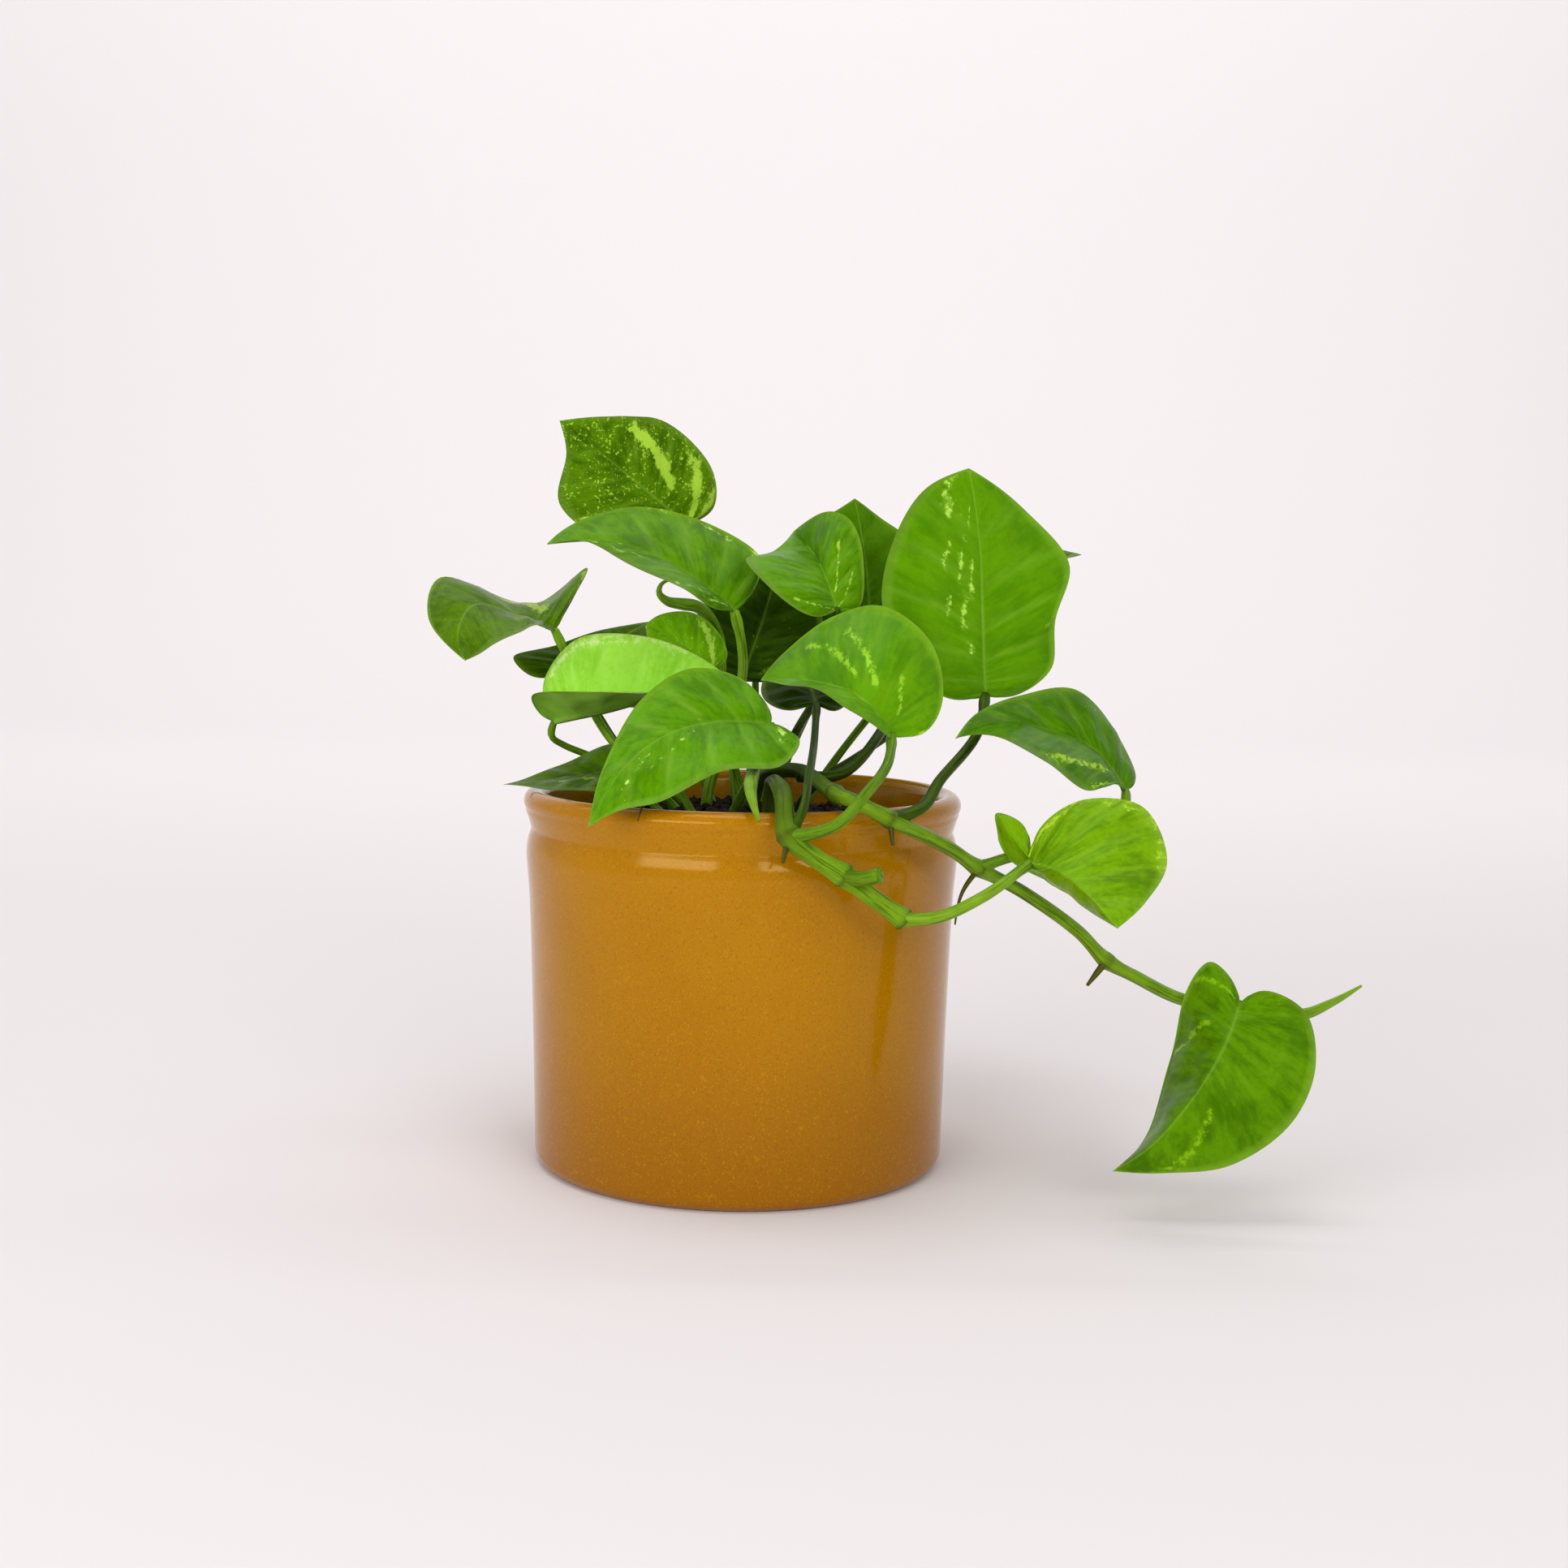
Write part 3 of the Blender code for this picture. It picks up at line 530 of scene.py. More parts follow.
# mid and dark are the two greens, pale is the variegation. streaks and specks say how much of it there
# is, marks are strokes (across, along, across, along, width) where it is dense, wave is in millimetres.
LOOKS = {
    "top_left": Look(srgb(84, 130, 4), srgb(52, 92, 2), srgb(176, 220, 66), 0.04, 0.13,
                     [(0.1, 0.1, 0.9, 0.25, 0.03), (0.15, 0.22, 0.8, 0.42, 0.03), (-0.3, 0.3, -0.9, 0.5, 0.04),
                      (-0.1, 0.12, -0.95, 0.22, 0.035), (0.3, 0.5, 0.8, 0.7, 0.03)], 0.3),
    "long_left": Look(srgb(92, 148, 3), srgb(66, 116, 2), srgb(206, 240, 108), -0.05, 0.02,
                      [(-0.1, 0.12, -0.8, 0.3, 0.018), (-0.1, 0.2, -0.9, 0.42, 0.016),
                       (0.8, 0.12, 0.98, 0.3, 0.03), (0.9, 0.4, 0.98, 0.62, 0.02),
                       (-0.6, 0.62, -0.95, 0.8, 0.018), (-0.4, 0.75, -0.9, 0.9, 0.018)], 0.9),
    "far_left": Look(srgb(84, 124, 4), srgb(54, 88, 2), srgb(158, 196, 50), -0.02, 0.06,
                     [(0.5, 0.1, 0.9, 0.25, 0.04), (0.3, 0.4, 0.8, 0.55, 0.04)], 1.0),
    "back_left": Look(srgb(72, 108, 5), srgb(46, 76, 2), srgb(128, 166, 40), -0.03, 0.02, [], 0.5),
    "bright": Look(srgb(172, 238, 78), srgb(146, 218, 50), srgb(226, 255, 160), 0.0, 0.03,
                   [(0.1, 0.15, 0.9, 0.3, 0.04), (0.2, 0.4, 0.9, 0.6, 0.04), (-0.9, 0.3, -0.98, 0.8, 0.03)], 0.7),
    # Painted light: this leaf's greens are made lighter to offset the shade that the leaves above cast on it.
    "small": Look(srgb(122, 186, 10), srgb(96, 156, 5), srgb(196, 240, 88), 0.0, 0.10,
                  [(0.1, 0.3, 0.8, 0.5, 0.05)], 0.4),
    "front": Look(srgb(92, 152, 4), srgb(68, 124, 2), srgb(206, 246, 116), -0.07, 0.02,
                  [(-0.35, 0.17, -0.62, 0.215, 0.028), (-0.4, 0.2, -0.6, 0.24, 0.028),
                   (0.7, 0.05, 0.95, 0.14, 0.03), (-0.1, 0.62, -0.45, 0.76, 0.011),
                   (-0.2, 0.78, -0.6, 0.88, 0.011)], 0.9),
    "low_left": Look(srgb(84, 122, 10), srgb(54, 86, 4), srgb(150, 186, 54), -0.03, 0.01,
                     [(-0.4, 0.1, -0.5, 0.8, 0.03)], 0.4),
    # Painted shade: this leaf's greens, pale included, are darkened to stand for the shade it hangs in behind the
    # others.
    "shade": Look(srgb(46, 78, 3), srgb(30, 54, 2), srgb(128, 168, 40), -0.01, 0.06,
                  [(0.4, 0.3, 0.9, 0.5, 0.04)], 0.6),
    "centre": Look(srgb(94, 152, 5), srgb(66, 118, 3), srgb(180, 222, 76), -0.03, 0.02,
                   [(-0.1, 0.15, -0.8, 0.3, 0.014), (0.1, 0.2, 0.7, 0.4, 0.014), (0.1, 0.4, 0.6, 0.6, 0.014)], 0.7),
    # Painted shade: this leaf's greens are darkened to stand for the shade it sits in behind the centre leaves.
    "centre_back": Look(srgb(74, 124, 4), srgb(50, 92, 2), srgb(150, 196, 50), -0.03, 0.03, [], 0.9),
    "tall": Look(srgb(92, 150, 4), srgb(74, 132, 2), srgb(186, 232, 90), -0.06, 0.0,
                 [(-0.14, 0.44, -0.34, 0.86, 0.014), (-0.32, 0.52, -0.58, 0.88, 0.012),
                  (-0.1, 0.62, -0.2, 0.9, 0.010), (-0.7, 0.86, -0.9, 0.93, 0.03), (-0.97, 0.3, -0.97, 0.5, 0.015),
                  (0.8, 0.4, 0.95, 0.48, 0.012)], 1.0),
    "behind_tall": Look(srgb(82, 128, 8), srgb(56, 96, 4), srgb(150, 190, 66), -0.03, 0.03, [], 0.4),
    "crown": Look(srgb(98, 158, 6), srgb(76, 134, 3), srgb(156, 212, 50), -0.05, 0.02,
                  [(0.2, 0.5, 0.7, 0.66, 0.02), (0.2, 0.62, 0.7, 0.8, 0.02), (0.75, 0.05, 0.98, 0.14, 0.03),
                   (0.2, 0.3, 0.5, 0.42, 0.015)], 0.9),
    "right": Look(srgb(80, 134, 4), srgb(58, 106, 2), srgb(168, 212, 56), -0.04, 0.06,
                  [(-0.4, 0.2, -0.9, 0.35, 0.03), (-0.3, 0.4, -0.9, 0.6, 0.03)], 0.9),
    "round": Look(srgb(118, 170, 6), srgb(84, 130, 2), srgb(182, 218, 58), -0.05, 0.0,
                  [(-0.2, 0.05, -0.8, 0.25, 0.06), (-0.95, 0.25, -0.95, 0.7, 0.03), (0.4, 0.5, 0.9, 0.75, 0.05)],
                  0.6),
    "trailing": Look(srgb(92, 144, 4), srgb(64, 110, 2), srgb(134, 188, 22), -0.03, 0.01,
                     [(0.2, 0.2, 0.9, 0.35, 0.018), (0.3, 0.45, 0.9, 0.6, 0.016), (-0.3, 0.7, -0.9, 0.85, 0.018)],
                     0.9),
    # Painted shade: this leaf's greens, pale included, are darkened to stand for the shadow the crown leaf casts on it.
    "under": Look(srgb(42, 70, 4), srgb(26, 48, 2), srgb(88, 124, 34), -0.04, 0.0, [], 0.5),
    "rear_middle": Look(srgb(88, 142, 5), srgb(62, 108, 2), srgb(186, 226, 82), -0.02, 0.06,
                        [(-0.2, 0.15, -0.8, 0.3, 0.03), (0.2, 0.4, 0.8, 0.55, 0.03)], 1.0),
    "rear_right": Look(srgb(94, 152, 6), srgb(66, 116, 3), srgb(196, 234, 92), -0.02, 0.05,
                       [(0.2, 0.25, 0.8, 0.4, 0.03), (-0.2, 0.5, -0.7, 0.7, 0.03)], 0.9),
    "rear_left": Look(srgb(88, 144, 5), srgb(62, 108, 2), srgb(186, 226, 82), 0.0, 0.07,
                      [(0.2, 0.1, 0.7, 0.3, 0.03)], 0.9),
    "rear_high": Look(srgb(110, 172, 8), srgb(82, 138, 4), srgb(204, 242, 106), -0.02, 0.05,
                      [(0.2, 0.3, 0.7, 0.5, 0.04)], 0.7),
}


def stroke(across, along, mark):
    """How near each point is to a stroke (u0, v0, u1, v1, width) drawn on the blade, 1 on it, 0 away."""
    u0, v0, u1, v1, width = mark
    du, dv = (u1 - u0) * 0.45, v1 - v0
    length = du * du + dv * dv + 1e-9
    pu, pv = (across - u0) * 0.45, along - v0
    t = np.clip((pu * du + pv * dv) / length, 0, 1)
    return np.exp(-(((pu - t * du) ** 2 + (pv - t * dv) ** 2) / (1.35 * width) ** 2))


def blade_surface(leaf, wave, seed):
    """The middle surface (rows x columns x 3), its normals, and the across, along and width values."""
    rows = np.linspace(0, 1, ROWS)
    share = np.linspace(0, 1, COLUMNS) ** 1.45
    rib = smooth_route([leaf.base, *leaf.rib, leaf.tip], rows**VEIN_SWEEP)
    fine = smooth_route([leaf.base, *leaf.rib, leaf.tip], rows)
    halves, widths = [], []
    for side, margin in ((-1, leaf.left), (1, leaf.right)):
        edge = smooth_route([leaf.base, *margin, leaf.tip], rows)
        width = edge - rib
        along = unit(np.gradient(fine, axis=0))
        upward = side * np.cross(width, along)
        s = share[None, :, None]
        half = rib[:, None] + width[:, None] * s + upward[:, None] * LEAF_CUP * 4 * s * (1 - s)
        swing = wave * np.sin(rows * 2 * np.pi * 2.3 + seed + side) * np.sin(np.pi * rows) ** 0.7
        half = half + unit(upward)[:, None] * swing[:, None, None] * s**2
        halves.append(half)
        widths.append(np.linalg.norm(width, axis=1))
    grid = np.concatenate([halves[0][:, :0:-1], halves[1]], axis=1)
    across = np.concatenate([-share[:0:-1], share])[None, :].repeat(ROWS, 0)
    along = rows[:, None].repeat(across.shape[1], 1)
    width = np.where(across < 0, widths[0][:, None], widths[1][:, None])
    normal = np.cross(np.gradient(grid, axis=1), np.gradient(grid, axis=0))
    normal[0], normal[-1] = normal[1], normal[-2]
    normal = unit(normal)
    normal[:2] = unit(normal[1:4].mean(axis=(0, 1)))[None, None]
    return grid, normal, across, along, width


def make_blade(name, leaf, look, seed):
    grid, normal, across, along, width = blade_surface(leaf, look.wave, seed)
    away = np.abs(across) * width
    lines = np.abs(((along * VEINS + 0.25 * np.abs(across)) % 1) - 0.5) * 2
    inside = np.sin(np.pi * np.clip(np.abs(across), 0, 1)) ** 0.6 * np.sin(np.pi * along) ** 0.5
    vein = np.exp(-(((1 - lines) / 0.16) ** 2)) * inside
    puff = 0.34 * inside * -np.cos(np.pi * (1 - lines)) + 0.5 * inside * ripple(grid, 9, seed, 2)
    stem = 1.15 * (1 - along) ** 1.3 + 0.18
    groove = 0.32 * (1 - 0.7 * along) * np.exp(-((away / 0.9) ** 2))
    ridge = np.sqrt(np.clip(stem**2 - (away * 0.9) ** 2, 0, None))
    edge = np.clip((1 - np.abs(across)) * width / 1.2, 0.35, 1)
    thick = BLADE * edge * np.clip(along * 30, 0.4, 1) * np.clip((1 - along) * 22, 0.4, 1)
    rise = puff - 0.2 * vein
    top = grid + normal * (thick / 2 + rise - groove)[..., None]
    under = grid - normal * (thick / 2 - rise + ridge * 0.9 + 0.08 * vein)[..., None]

    count = grid.shape[1]
    inner = slice(1, ROWS - 1)
    sheets = [top[inner].reshape(-1, 3), under[inner].reshape(-1, 3)]
    size = len(sheets[0])
    ends = [top[0].mean(0), top[-1].mean(0), under[0].mean(0), under[-1].mean(0)]
    points = np.concatenate([*sheets, np.array(ends)])
    points[:, 2] = np.minimum(points[:, 2], cad_box[1][2] / MM)
    base_top, tip_top, base_under, tip_under = range(2 * size, 2 * size + 4)
    faces, slots = [], []
    for level, (base, tip) in enumerate(((base_top, tip_top), (base_under, tip_under))):
        sheet = [(base, level * size + c + 1, level * size + c) for c in range(count - 1)]
        for row in range(ROWS - 3):
            for c in range(count - 1):
                a = level * size + row * count + c
                sheet.append((a, a + 1, a + count + 1, a + count))
        last = level * size + (ROWS - 3) * count
        sheet += [(last + c, last + c + 1, tip) for c in range(count - 1)]
        faces += sheet if level == 0 else [face[::-1] for face in sheet]
        slots += [level] * len(sheet)
    for c, flip in ((0, False), (count - 1, True)):
        edge_points = [base_top, *[row * count + c for row in range(ROWS - 2)], tip_top]
        lower = [base_under, *[size + row * count + c for row in range(ROWS - 2)], tip_under]
        for i in range(len(edge_points) - 1):
            quad = (edge_points[i], edge_points[i + 1], lower[i + 1], lower[i])
            faces.append(quad if flip else quad[::-1])
            slots.append(0)

    def spread(values, base=0.0, tip=0.0):
        flat = values[inner].reshape(-1)
        return np.concatenate([flat, flat, [base, tip, base, tip]])

    pale = np.zeros_like(across)
    for mark in look.marks:
        pale = np.maximum(pale, stroke(across, along, mark))
    uvs = np.stack([spread(across * 0.5 + 0.5, 0.5, 0.5), spread(along, 0, 1)], 1)
    rim = np.exp(-(((1 - np.abs(across)) * width / 0.55) ** 2))
    midrib = np.exp(-((away / (0.35 + 0.5 * (1 - along))) ** 2))
    marks = {"pale": spread(pale), "vein": spread(vein), "rim": spread(rim, 1, 1),
             "midrib": spread(midrib, 1, 1)}
    blade = mesh_piece("blade_" + name, points, faces, uvs, marks, slots)
    finish_piece(blade, [leaf_material(name, look, seed), under_material(name, look, seed)],
                 "leaf", "leaf_" + name)


def leaf_material(name, look, seed):
    """Waxy green, clouded along the side veins, with pale variegation that breaks up into specks."""
    shade = Shader("leaf_top_" + name, IOR=1.40, Specular_IOR_Level=0.3, Specular_Tint=(*LEAF_SHEEN, 1.0))
    split = shade.node("SeparateXYZ", shade.node("UVMap", uv_map="UVMap").outputs["UV"])
    place = shade.place()
    run = shade.node("CombineXYZ", shade.math("MULTIPLY", split.outputs["X"], 6.0),
                     shade.math("MULTIPLY", split.outputs["Y"], 30.0), float(seed)).outputs[0]
    cloud = shade.noise(place, 55.0, 3.0, 0.55)
    brushed = shade.noise(run, 1.0, 4.0, 0.65)
    fine = shade.noise(place, 520.0, 3.0, 0.7)
    tone = shade.math("MULTIPLY_ADD", brushed, 0.5, shade.math("MULTIPLY", cloud, 0.5))
    base = shade.mix(shade.step(tone, 0.38, 0.58), look.dark, look.mid)
    base = shade.mix(shade.math("MULTIPLY", shade.step(fine, 0.48, 0.66), 0.35), base, look.dark)
    lighter = tuple(0.8 * c + 0.2 * p for c, p in zip(look.mid, look.pale))
    base = shade.mix(shade.math("MULTIPLY", shade.attribute("vein"), 0.5), base, lighter)

    # Two rings of variegation: a half-tone halo, and the pale heart inside it.
    broken = shade.math("MULTIPLY_ADD", fine, 0.55, shade.math("MULTIPLY", brushed, 0.45))
    drawn = shade.math("MULTIPLY_ADD", shade.attribute("pale"), 0.30, broken)
    halo = shade.step(drawn, 0.60 - look.streaks, 0.72 - look.streaks)
    heart = shade.step(drawn, 0.67 - look.streaks, 0.76 - look.streaks)
    grain = shade.noise(place, 900.0, 2.0, 0.6)
    speck = shade.math("MULTIPLY_ADD", grain, 0.7, shade.math("MULTIPLY", brushed, 0.3))
    speck = shade.step(speck, 0.70 - look.specks, 0.76 - look.specks)
    base = shade.mix(shade.math("MULTIPLY", halo, 0.45), base, tuple(0.5 * c + 0.5 * p for c, p in
                                                                     zip(look.mid, look.pale)))
    base = shade.mix(shade.math("MULTIPLY", shade.math("MAXIMUM", heart, speck), 0.8), base, look.pale)
    base = shade.mix(shade.math("MULTIPLY", shade.attribute("midrib"), 0.4), base, srgb(140, 186, 60))
    base = shade.mix(shade.math("MULTIPLY", shade.attribute("rim"), 0.45), base, srgb(146, 186, 60))
    shade.bump(shade.math("MULTIPLY_ADD", fine, 0.35, brushed), 0.14, 0.0006)
    shade.set(shade.surface.inputs["Roughness"], shade.math("MULTIPLY_ADD", cloud, 0.16, 0.30))
    return shade.colour(base)


def under_material(name, look, seed):
    """The back of the leaf: paler, duller, with light veins."""
    shade = Shader("leaf_under_" + name, Roughness=0.55, IOR=1.35, Specular_Tint=(*LEAF_SHEEN, 1.0))
    place = shade.place()
    cloud = shade.noise(place, 70.0, 3.0, 0.55)
    soft = tuple(0.55 * c + 0.45 * g for c, g in zip(look.mid, srgb(120, 165, 60)))
    deep = tuple(0.7 * c for c in soft)
    base = shade.mix(shade.step(cloud, 0.3, 0.7), deep, soft)
    base = shade.mix(shade.math("MULTIPLY", shade.attribute("vein"), 0.35), base, srgb(150, 190, 90))
    base = shade.mix(shade.math("MULTIPLY", shade.attribute("midrib"), 0.6), base, srgb(160, 196, 90))
    shade.bump(cloud, 0.1, 0.0006)
    return shade.colour(base)


# ------------------------------------------------------------------------------------------------
# Vines, stalks and roots
# ------------------------------------------------------------------------------------------------
SIDES = 20
AGED_TO = 0.9
FOOT_BURIED = 9.0

Stem = namedtuple("Stem", "route radius taper foot head")

# foot and head are the clearances that the solid model keeps; the visible stalks run on through them.
STEMS = {
    "vine_trailing": Stem(
        [(3, -8, 131), (7, -20, 143), (20, -41, 148), (32, -64, 142.5), (38, -76, 141.5), (50, -80, 136),
         (58, -75, 132), (71, -66, 125), (82, -57, 117), (98, -50, 108), (118, -47, 94), (128, -47, 84),
         (139, -46, 78), (155, -42, 70), (171, -42, 67), (189, -44, 67)], 2.4, 0.8, 0, 0),
    "vine_front": Stem(
        [(10, -42, 131), (11, -52, 144), (13, -66, 145), (15, -80, 142), (17, -88, 131), (27, -88, 123),
         (35, -86, 118), (44, -84, 111), (55, -80, 103)], 3.4, 0.9, 0, 1),
    "vine_tip": Stem([(189, -44, 67), (197, -46, 66), (206, -50, 71), (215, -54, 78)], 2.2, 0.25, 1, 0),
    "sheath": Stem([(5, -52, 149), (4, -72, 145), (5, -83, 141), (7, -89, 136)], 2.4, 0.6, 0, 0),
    "cut_stalk": Stem([(35, -86, 118), (40, -92, 118), (46, -97, 120)], 2.5, 1.0, 6, 0),
    "bud": Stem(
        [(-8.5, 16, 165), (-9, 23, 174), (-9, 30, 183), (-10, 35, 191), (-14, 31, 199), (-19, 28, 203),
         (-25, 26, 204), (-30, 24, 205), (-33, 22, 208), (-32, 22, 211.5), (-28, 22, 213)], 1.7, 1.3, 8, 0),
    "root_hanging": Stem([(82, -57, 117), (76, -61, 109), (74, -60, 98)], 1.0, 0.5, 5, 0),
    "root_rim": Stem([(50, -80, 136), (51, -84, 128)], 1.2, 0.5, 4.4, 0),
    "root_front": Stem([(17, -88, 131), (15, -94, 123)], 1.3, 0.5, 5, 0),
    "root_trailing": Stem([(128, -47, 84), (121, -51, 76)], 1.4, 0.5, 4.4, 0),
    "husk": Stem([(-25, -50, 144), (-28, -64, 143), (-31, -72, 140.5), (-33, -78, 134)], 1.3, 0.3, 0, 0),
    "stalk_top_left": Stem(
        [(-2, 20, 126), (-4, 30, 138), (-8, 46, 170), (-11, 54, 199), (-16, 54, 218), (-24, 46, 234)],
        2.0, 0.9, 0, 4),
    "stalk_long_left": Stem(
        [(-14, 0, 128), (-12, 4, 140), (-5, 8, 158), (-1, 6, 179), (-1.5, 0, 191), (-4, -4, 202)],
        2.3, 0.9, 0, 4),
    "stalk_far_left": Stem(
        [(-23, -4, 128), (-34, 2, 138), (-48, 8, 152), (-55, 12, 161), (-66, 12, 183), (-68, 7, 189),
         (-70, 4, 194)], 2.0, 0.9, 0, 4),
    "stalk_back_left": Stem(
        [(-20, 8, 127), (-32, 14, 137), (-48, 20, 151), (-56, 24, 162), (-67, 20, 177)], 1.8, 0.9, 0, 4),
    "stalk_bright": Stem(
        [(-29, -20, 130), (-40, -8, 139), (-55, 4, 147), (-66, 0, 152), (-70, -6, 156), (-69, -6, 161)],
        1.6, 0.9, 0, 2.4),
    "stalk_small": Stem([(3, 10, 128), (-3, 14, 142), (-8, 16, 163), (-11, 16, 180)], 1.7, 0.9, 0, 4),
    "stalk_front": Stem([(-3, -16, 130), (0, -22, 137), (5, -30, 147), (9, -38, 157), (10, -42, 164)],
                        2.0, 0.9, 0, 4),
    "stalk_low_left": Stem([(-18, -18, 130), (-23, -16, 138), (-31, -14, 146)], 1.8, 0.9, 0, 4),
    "stalk_shade": Stem([(8, 24, 126), (5, 30, 137), (1, 36, 156), (-2, 40, 175)], 2.0, 0.9, 0, 4),
    "stalk_centre": Stem(
        [(14, 4, 129), (14, 8, 146), (19, 14, 157), (24, 22, 165), (33, 28, 180), (35, 14, 194),
         (33, -4, 203)],
        2.0, 0.9, 0, 4),
    "stalk_centre_back": Stem(
        [(20, -42, 147), (28, -43, 146), (37, -39, 148), (49, -22, 160), (54, 20, 173), (48, 54, 191)],
        2.2, 0.9, 7, 4),
    "stalk_tall": Stem([(50, -80, 136), (61, -72, 139), (68, -58, 147), (82, -36, 161), (86, -20, 174)],
                       2.3, 0.9, 9, 4),
    "stalk_behind_tall": Stem(
        [(20, -16, 131), (22, -20, 136), (28, -24, 143), (40, -14, 150), (56, 0, 160), (72, 12, 175),
         (93, 26, 192), (102, 28, 218)], 1.6, 0.9, 0, 4),
    "stalk_crown": Stem([(17, -88, 131), (32, -97, 136), (42, -90, 146), (49, -76, 154), (51, -62, 162)],
                        2.2, 0.9, 7, 4),
    "stalk_right": Stem(
        [(82, -57, 117), (90, -58, 120.5), (97, -51, 121), (111, -46, 123), (127, -42, 131), (134, -38, 138),
         (135, -34, 142)], 2.0, 0.9, 7, 3),
    "stalk_round": Stem([(55, -80, 103), (67, -86, 105), (81, -86, 112), (91, -80, 118), (97, -72, 121)],
                        2.3, 0.9, 3, 4),
    "stalk_trailing": Stem([(171, -42, 67), (173, -52, 67), (171, -64, 73)], 1.6, 0.9, 4.4, 3),
    "stalk_under": Stem([(17, -88, 131), (21, -86, 139), (23, -70, 148), (25, -44, 158), (26, -24, 170)],
                        1.8, 0.9, 8, 4),
    "stalk_rear_middle": Stem([(10, 28, 128), (18, 40, 150), (30, 56, 175), (38, 70, 192)], 2.0, 0.9, 0, 4),
    "stalk_rear_right": Stem([(22, 18, 128), (36, 26, 148), (58, 36, 176), (72, 46, 196)], 1.9, 0.9, 0, 4),
    "stalk_rear_left": Stem([(-12, 26, 128), (-20, 38, 146), (-28, 48, 160), (-32, 54, 168)],
                            1.9, 0.9, 0, 4),
    "stalk_rear_high": Stem([(0, 36, 128), (3, 46, 150), (3, 56, 175), (2, 62, 192)], 1.8, 0.9, 0, 4),
}


def tube(route, radii, swellings=(), joints=(), groove=0.0, step=1.6, seed=0):
    """A round stem along a route, in millimetres. radii are spread evenly from its foot to its head;
    swellings are (fraction, gain, width); joints are fractions where a dark ring scar goes."""
    rough = smooth_route(route, np.linspace(0, 1, 240))
    length = np.concatenate([[0], np.cumsum(np.linalg.norm(np.diff(rough, axis=0), axis=1))])
    count = max(8, round(length[-1] / step))
    at = np.linspace(0, 1, count)
    line = np.stack([np.interp(at * length[-1], length, rough[:, k]) for k in range(3)], 1)
    radius = np.interp(at, np.linspace(0, 1, len(radii)), radii)
    mark = np.zeros(count)
    for fraction, gain, width in swellings:
        radius = radius * (1 + gain * np.exp(-(((at - fraction) * length[-1] / width) ** 2)))
    for fraction in joints:
        mark = np.maximum(mark, np.exp(-(((at - fraction) * length[-1] / 1.1) ** 2)))
    along = unit(np.gradient(line, axis=0))
    frames = []
    side = unit(np.cross(along[0], (0.3, 0.2, 1.0) if abs(along[0][2]) < 0.8 else (1.0, 0.2, 0.1)))
    for way in along:
        side = unit(side - way * (side @ way))
        frames.append((side, np.cross(way, side)))
    turn = np.arange(SIDES) * 2 * np.pi / SIDES
    shape = 1 - groove * np.exp(-((np.angle(np.exp(1j * (turn - 1.2))) / 0.45) ** 2)) + 0.04 * np.cos(3 * turn)
    points, uvs, marks = [], [], []
    for i, (first, second) in enumerate(frames):
        ring = radius[i] * shape
        ring = ring * (1 + 0.03 * np.sin(turn * 5 + seed + line[i].sum() * 0.11))
        for k in range(SIDES):
            points.append(line[i] + ring[k] * (math.cos(turn[k]) * first + math.sin(turn[k]) * second))
            uvs.append((k / SIDES, at[i] * length[-1] / 100))
            marks.append(mark[i])
    faces = []
    for i in range(count - 1):
        for k in range(SIDES):
            a, b = i * SIDES + k, i * SIDES + (k + 1) % SIDES
            faces.append((a, b, b + SIDES, a + SIDES))
    for ring, way, flip in ((0, -along[0], True), (count - 1, along[-1], False)):
        points.append(line[ring] + way * radius[ring] * 0.45)
        uvs.append((0.5, at[ring] * length[-1] / 100))
        marks.append(mark[ring])
        for k in range(SIDES):
            face = (ring * SIDES + k, ring * SIDES + (k + 1) % SIDES, len(points) - 1)
            faces.append(face[::-1] if flip else face)
    return points, faces, uvs, marks


def join(parts):
    """Several (points, faces, uvs, marks) as one."""
    points, faces, uvs, marks = [], [], [], []
    for some, net, layer, values in parts:
        faces += [tuple(i + len(points) for i in face) for face in net]
        points += list(some)
        uvs += list(layer)
        marks += list(values)
    return points, faces, uvs, marks


def stalk_material(name, light, dark, aged):
    """Satin green with darker lines along the stalk, faint mottling and brown ring scars."""
    shade = Shader(name, Roughness=0.4, IOR=1.4, Specular_Tint=(*LEAF_SHEEN, 1.0))
    split = shade.node("SeparateXYZ", shade.node("UVMap", uv_map="UVMap").outputs["UV"])
    place = shade.place()
    turn = shade.math("MULTIPLY", split.outputs["X"], 2 * math.pi)
    run = shade.node("CombineXYZ", shade.math("MULTIPLY", shade.math("SINE", turn), 2.4),
                     shade.math("MULTIPLY", shade.math("COSINE", turn), 2.4),
                     shade.math("MULTIPLY", split.outputs["Y"], 5.0)).outputs[0]
    line = shade.noise(run, 1.0, 3.0, 0.6)
    cloud = shade.noise(place, 160.0, 3.0, 0.6)
    base = shade.mix(shade.step(cloud, 0.3, 0.7), tuple(0.8 * c for c in light), light)
    base = shade.mix(shade.math("MULTIPLY", shade.step(line, 0.50, 0.62), 0.7), base, dark)
    if aged:
        old = shade.step(split.outputs["Y"], AGED_TO, AGED_TO - 0.35)
        base = shade.mix(shade.math("MULTIPLY", old, 0.72), base, srgb(38, 52, 8))
    base = shade.mix(shade.math("MULTIPLY", shade.attribute("joint"), 0.75), base, srgb(62, 66, 20))
    shade.bump(shade.math("MULTIPLY_ADD", line, 0.8, cloud), 0.25, 0.0005)
    return shade.colour(base)


LIGHT_STALK = (srgb(132, 176, 40), srgb(66, 100, 8))
PLAIN_STALK = (srgb(104, 146, 24), srgb(44, 72, 6))
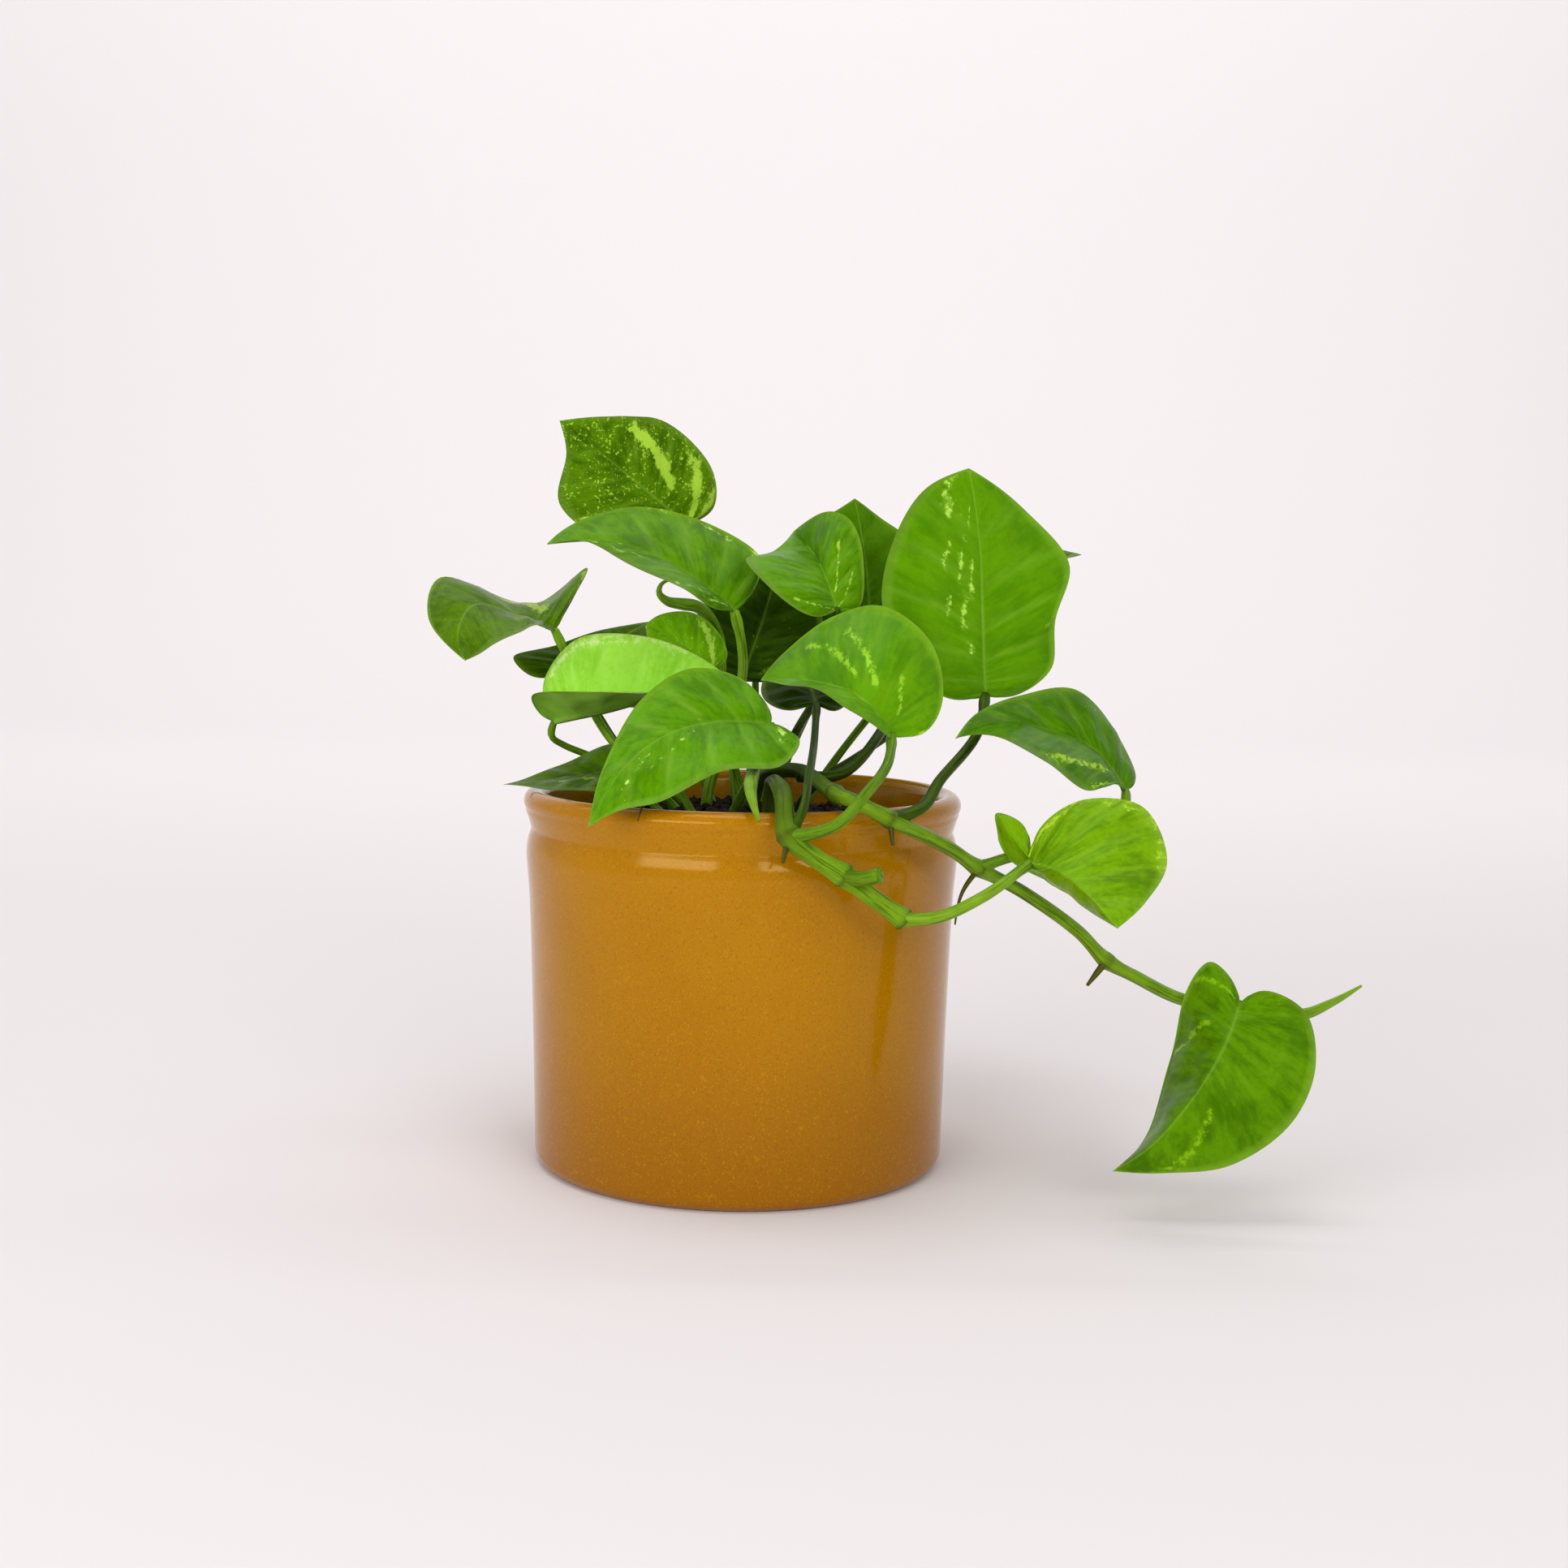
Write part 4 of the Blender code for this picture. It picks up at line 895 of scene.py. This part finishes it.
# Painted shade: a darker copy of the stalk green, for the stalks that stand in shade among and under the leaves.
SHADED_STALK = (srgb(58, 82, 14), srgb(20, 30, 5))
VINE_GREEN = (srgb(122, 164, 30), srgb(56, 84, 8))
ROOT_BROWN = (srgb(86, 78, 34), srgb(40, 34, 14))
HUSK_BROWN = (srgb(96, 74, 44), srgb(44, 32, 18))

# Where the vines' nodes are, as points of their routes counted from the foot.
RADII_OF_VINE = {"vine_trailing": (1.1, 1.1, 1.05, 0.98, 0.95, 0.92, 0.88), "vine_front": (0.75, 0.8, 0.95, 0.95, 0.85)}
NODES_OF_VINE = {"vine_trailing": (3, 5, 8, 11, 14), "vine_front": (4, 6, 8)}
# Each stem's light and dark colours; the stalks among and under the leaves get the painted shade copy.
COLOUR_AND_SHADE_OF_STEM = {
    "vine_trailing": VINE_GREEN, "vine_front": VINE_GREEN, "vine_tip": LIGHT_STALK, "sheath": LIGHT_STALK,
    "cut_stalk": PLAIN_STALK, "bud": LIGHT_STALK, "root_hanging": ROOT_BROWN, "root_rim": ROOT_BROWN,
    "root_front": ROOT_BROWN, "root_trailing": ROOT_BROWN, "husk": HUSK_BROWN, "stalk_tall": SHADED_STALK,
    "stalk_centre_back": SHADED_STALK, "stalk_behind_tall": SHADED_STALK, "stalk_centre": SHADED_STALK,
    "stalk_under": SHADED_STALK, "stalk_round": LIGHT_STALK, "stalk_long_left": LIGHT_STALK,
    "stalk_far_left": LIGHT_STALK, "stalk_crown": PLAIN_STALK}
PROFILE_OF_STEM = {
    "vine_tip": (1.0, 0.95, 0.75, 0.5, 0.2), "sheath": (0.85, 1.0, 0.95, 0.7, 0.3),
    "bud": (0.8, 0.75, 0.75, 0.8, 0.8, 0.9, 1.1, 1.35, 1.4, 1.1, 0.6, 0.2), "cut_stalk": (1.1, 1.0, 1.0, 1.05),
    "root_hanging": (1.0, 0.8, 0.5, 0.3), "root_rim": (1.0, 0.8, 0.45), "root_front": (1.0, 0.8, 0.45),
    "root_trailing": (1.0, 0.8, 0.4), "husk": (0.5, 1.0, 0.8, 0.5, 0.2)}


def fraction_of(route, index):
    """How far along a smooth route one of its points lies, as a fraction of the length."""
    fine = smooth_route(route, np.linspace(0, 1, 400))
    length = np.concatenate([[0], np.cumsum(np.linalg.norm(np.diff(fine, axis=0), axis=1))])
    nearest = np.argmin(np.linalg.norm(fine - np.asarray(route[index], float), axis=1))
    return length[nearest] / length[-1]


def buried(route):
    """The route with its foot carried on, down into the soil."""
    first, second = np.asarray(route[0], float), np.asarray(route[1], float)
    return [first + FOOT_BURIED * unit(first - second), *route]


def vine_parts(name, stem):
    """A vine with swollen ringed nodes and a groove along it."""
    route = buried(stem.route)
    at = [fraction_of(route, i + 1) for i in NODES_OF_VINE[name]]
    radii = [stem.radius * r for r in RADII_OF_VINE[name]]
    swellings = [(f, 0.28, 4.5) for f in at] + [(f, 0.10, 1.2) for f in at]
    return [tube(route, radii, swellings, at, 0.10, seed=3)]


def stalk_parts(name, stem):
    """One stalk from inside the soil or the vine up into the underside of its blade."""
    route = [np.asarray(point, float) for point in stem.route]
    if name in PROFILE_OF_STEM:
        radii = [stem.radius * share for share in PROFILE_OF_STEM[name]]
        return [tube(route, radii, groove=0.06, step=1.2, seed=len(name))]
    if stem.foot == 0:
        route = buried(route)
    radii = [stem.radius * share for share in (1.0, 0.9, 0.84, 0.8, 0.78, 0.74)]
    swellings = [(0.0, 0.35, 3.0)] if stem.foot else []
    swellings.append((0.955, 0.22, 3.0))
    return [tube(route, radii, swellings, (), 0.20, seed=len(name))]


def make_stems():
    for name, stem in STEMS.items():
        parts = vine_parts(name, stem) if name in NODES_OF_VINE else stalk_parts(name, stem)
        points, faces, uvs, marks = join(parts)
        piece = mesh_piece("green_" + name, points, faces, uvs, {"joint": marks})
        light, dark = COLOUR_AND_SHADE_OF_STEM.get(name, PLAIN_STALK)
        slot = "root" if name.startswith("root") or name == "husk" else "stalk"
        finish_piece(piece, [stalk_material("skin_" + name, light, dark, name in NODES_OF_VINE)], slot, name)


make_studio()
make_pot()
make_soil()
for number, (leaf_name, leaf_shape) in enumerate(LEAVES.items()):
    make_blade(leaf_name, leaf_shape, LOOKS[leaf_name], 3 + 7 * number)
make_stems()
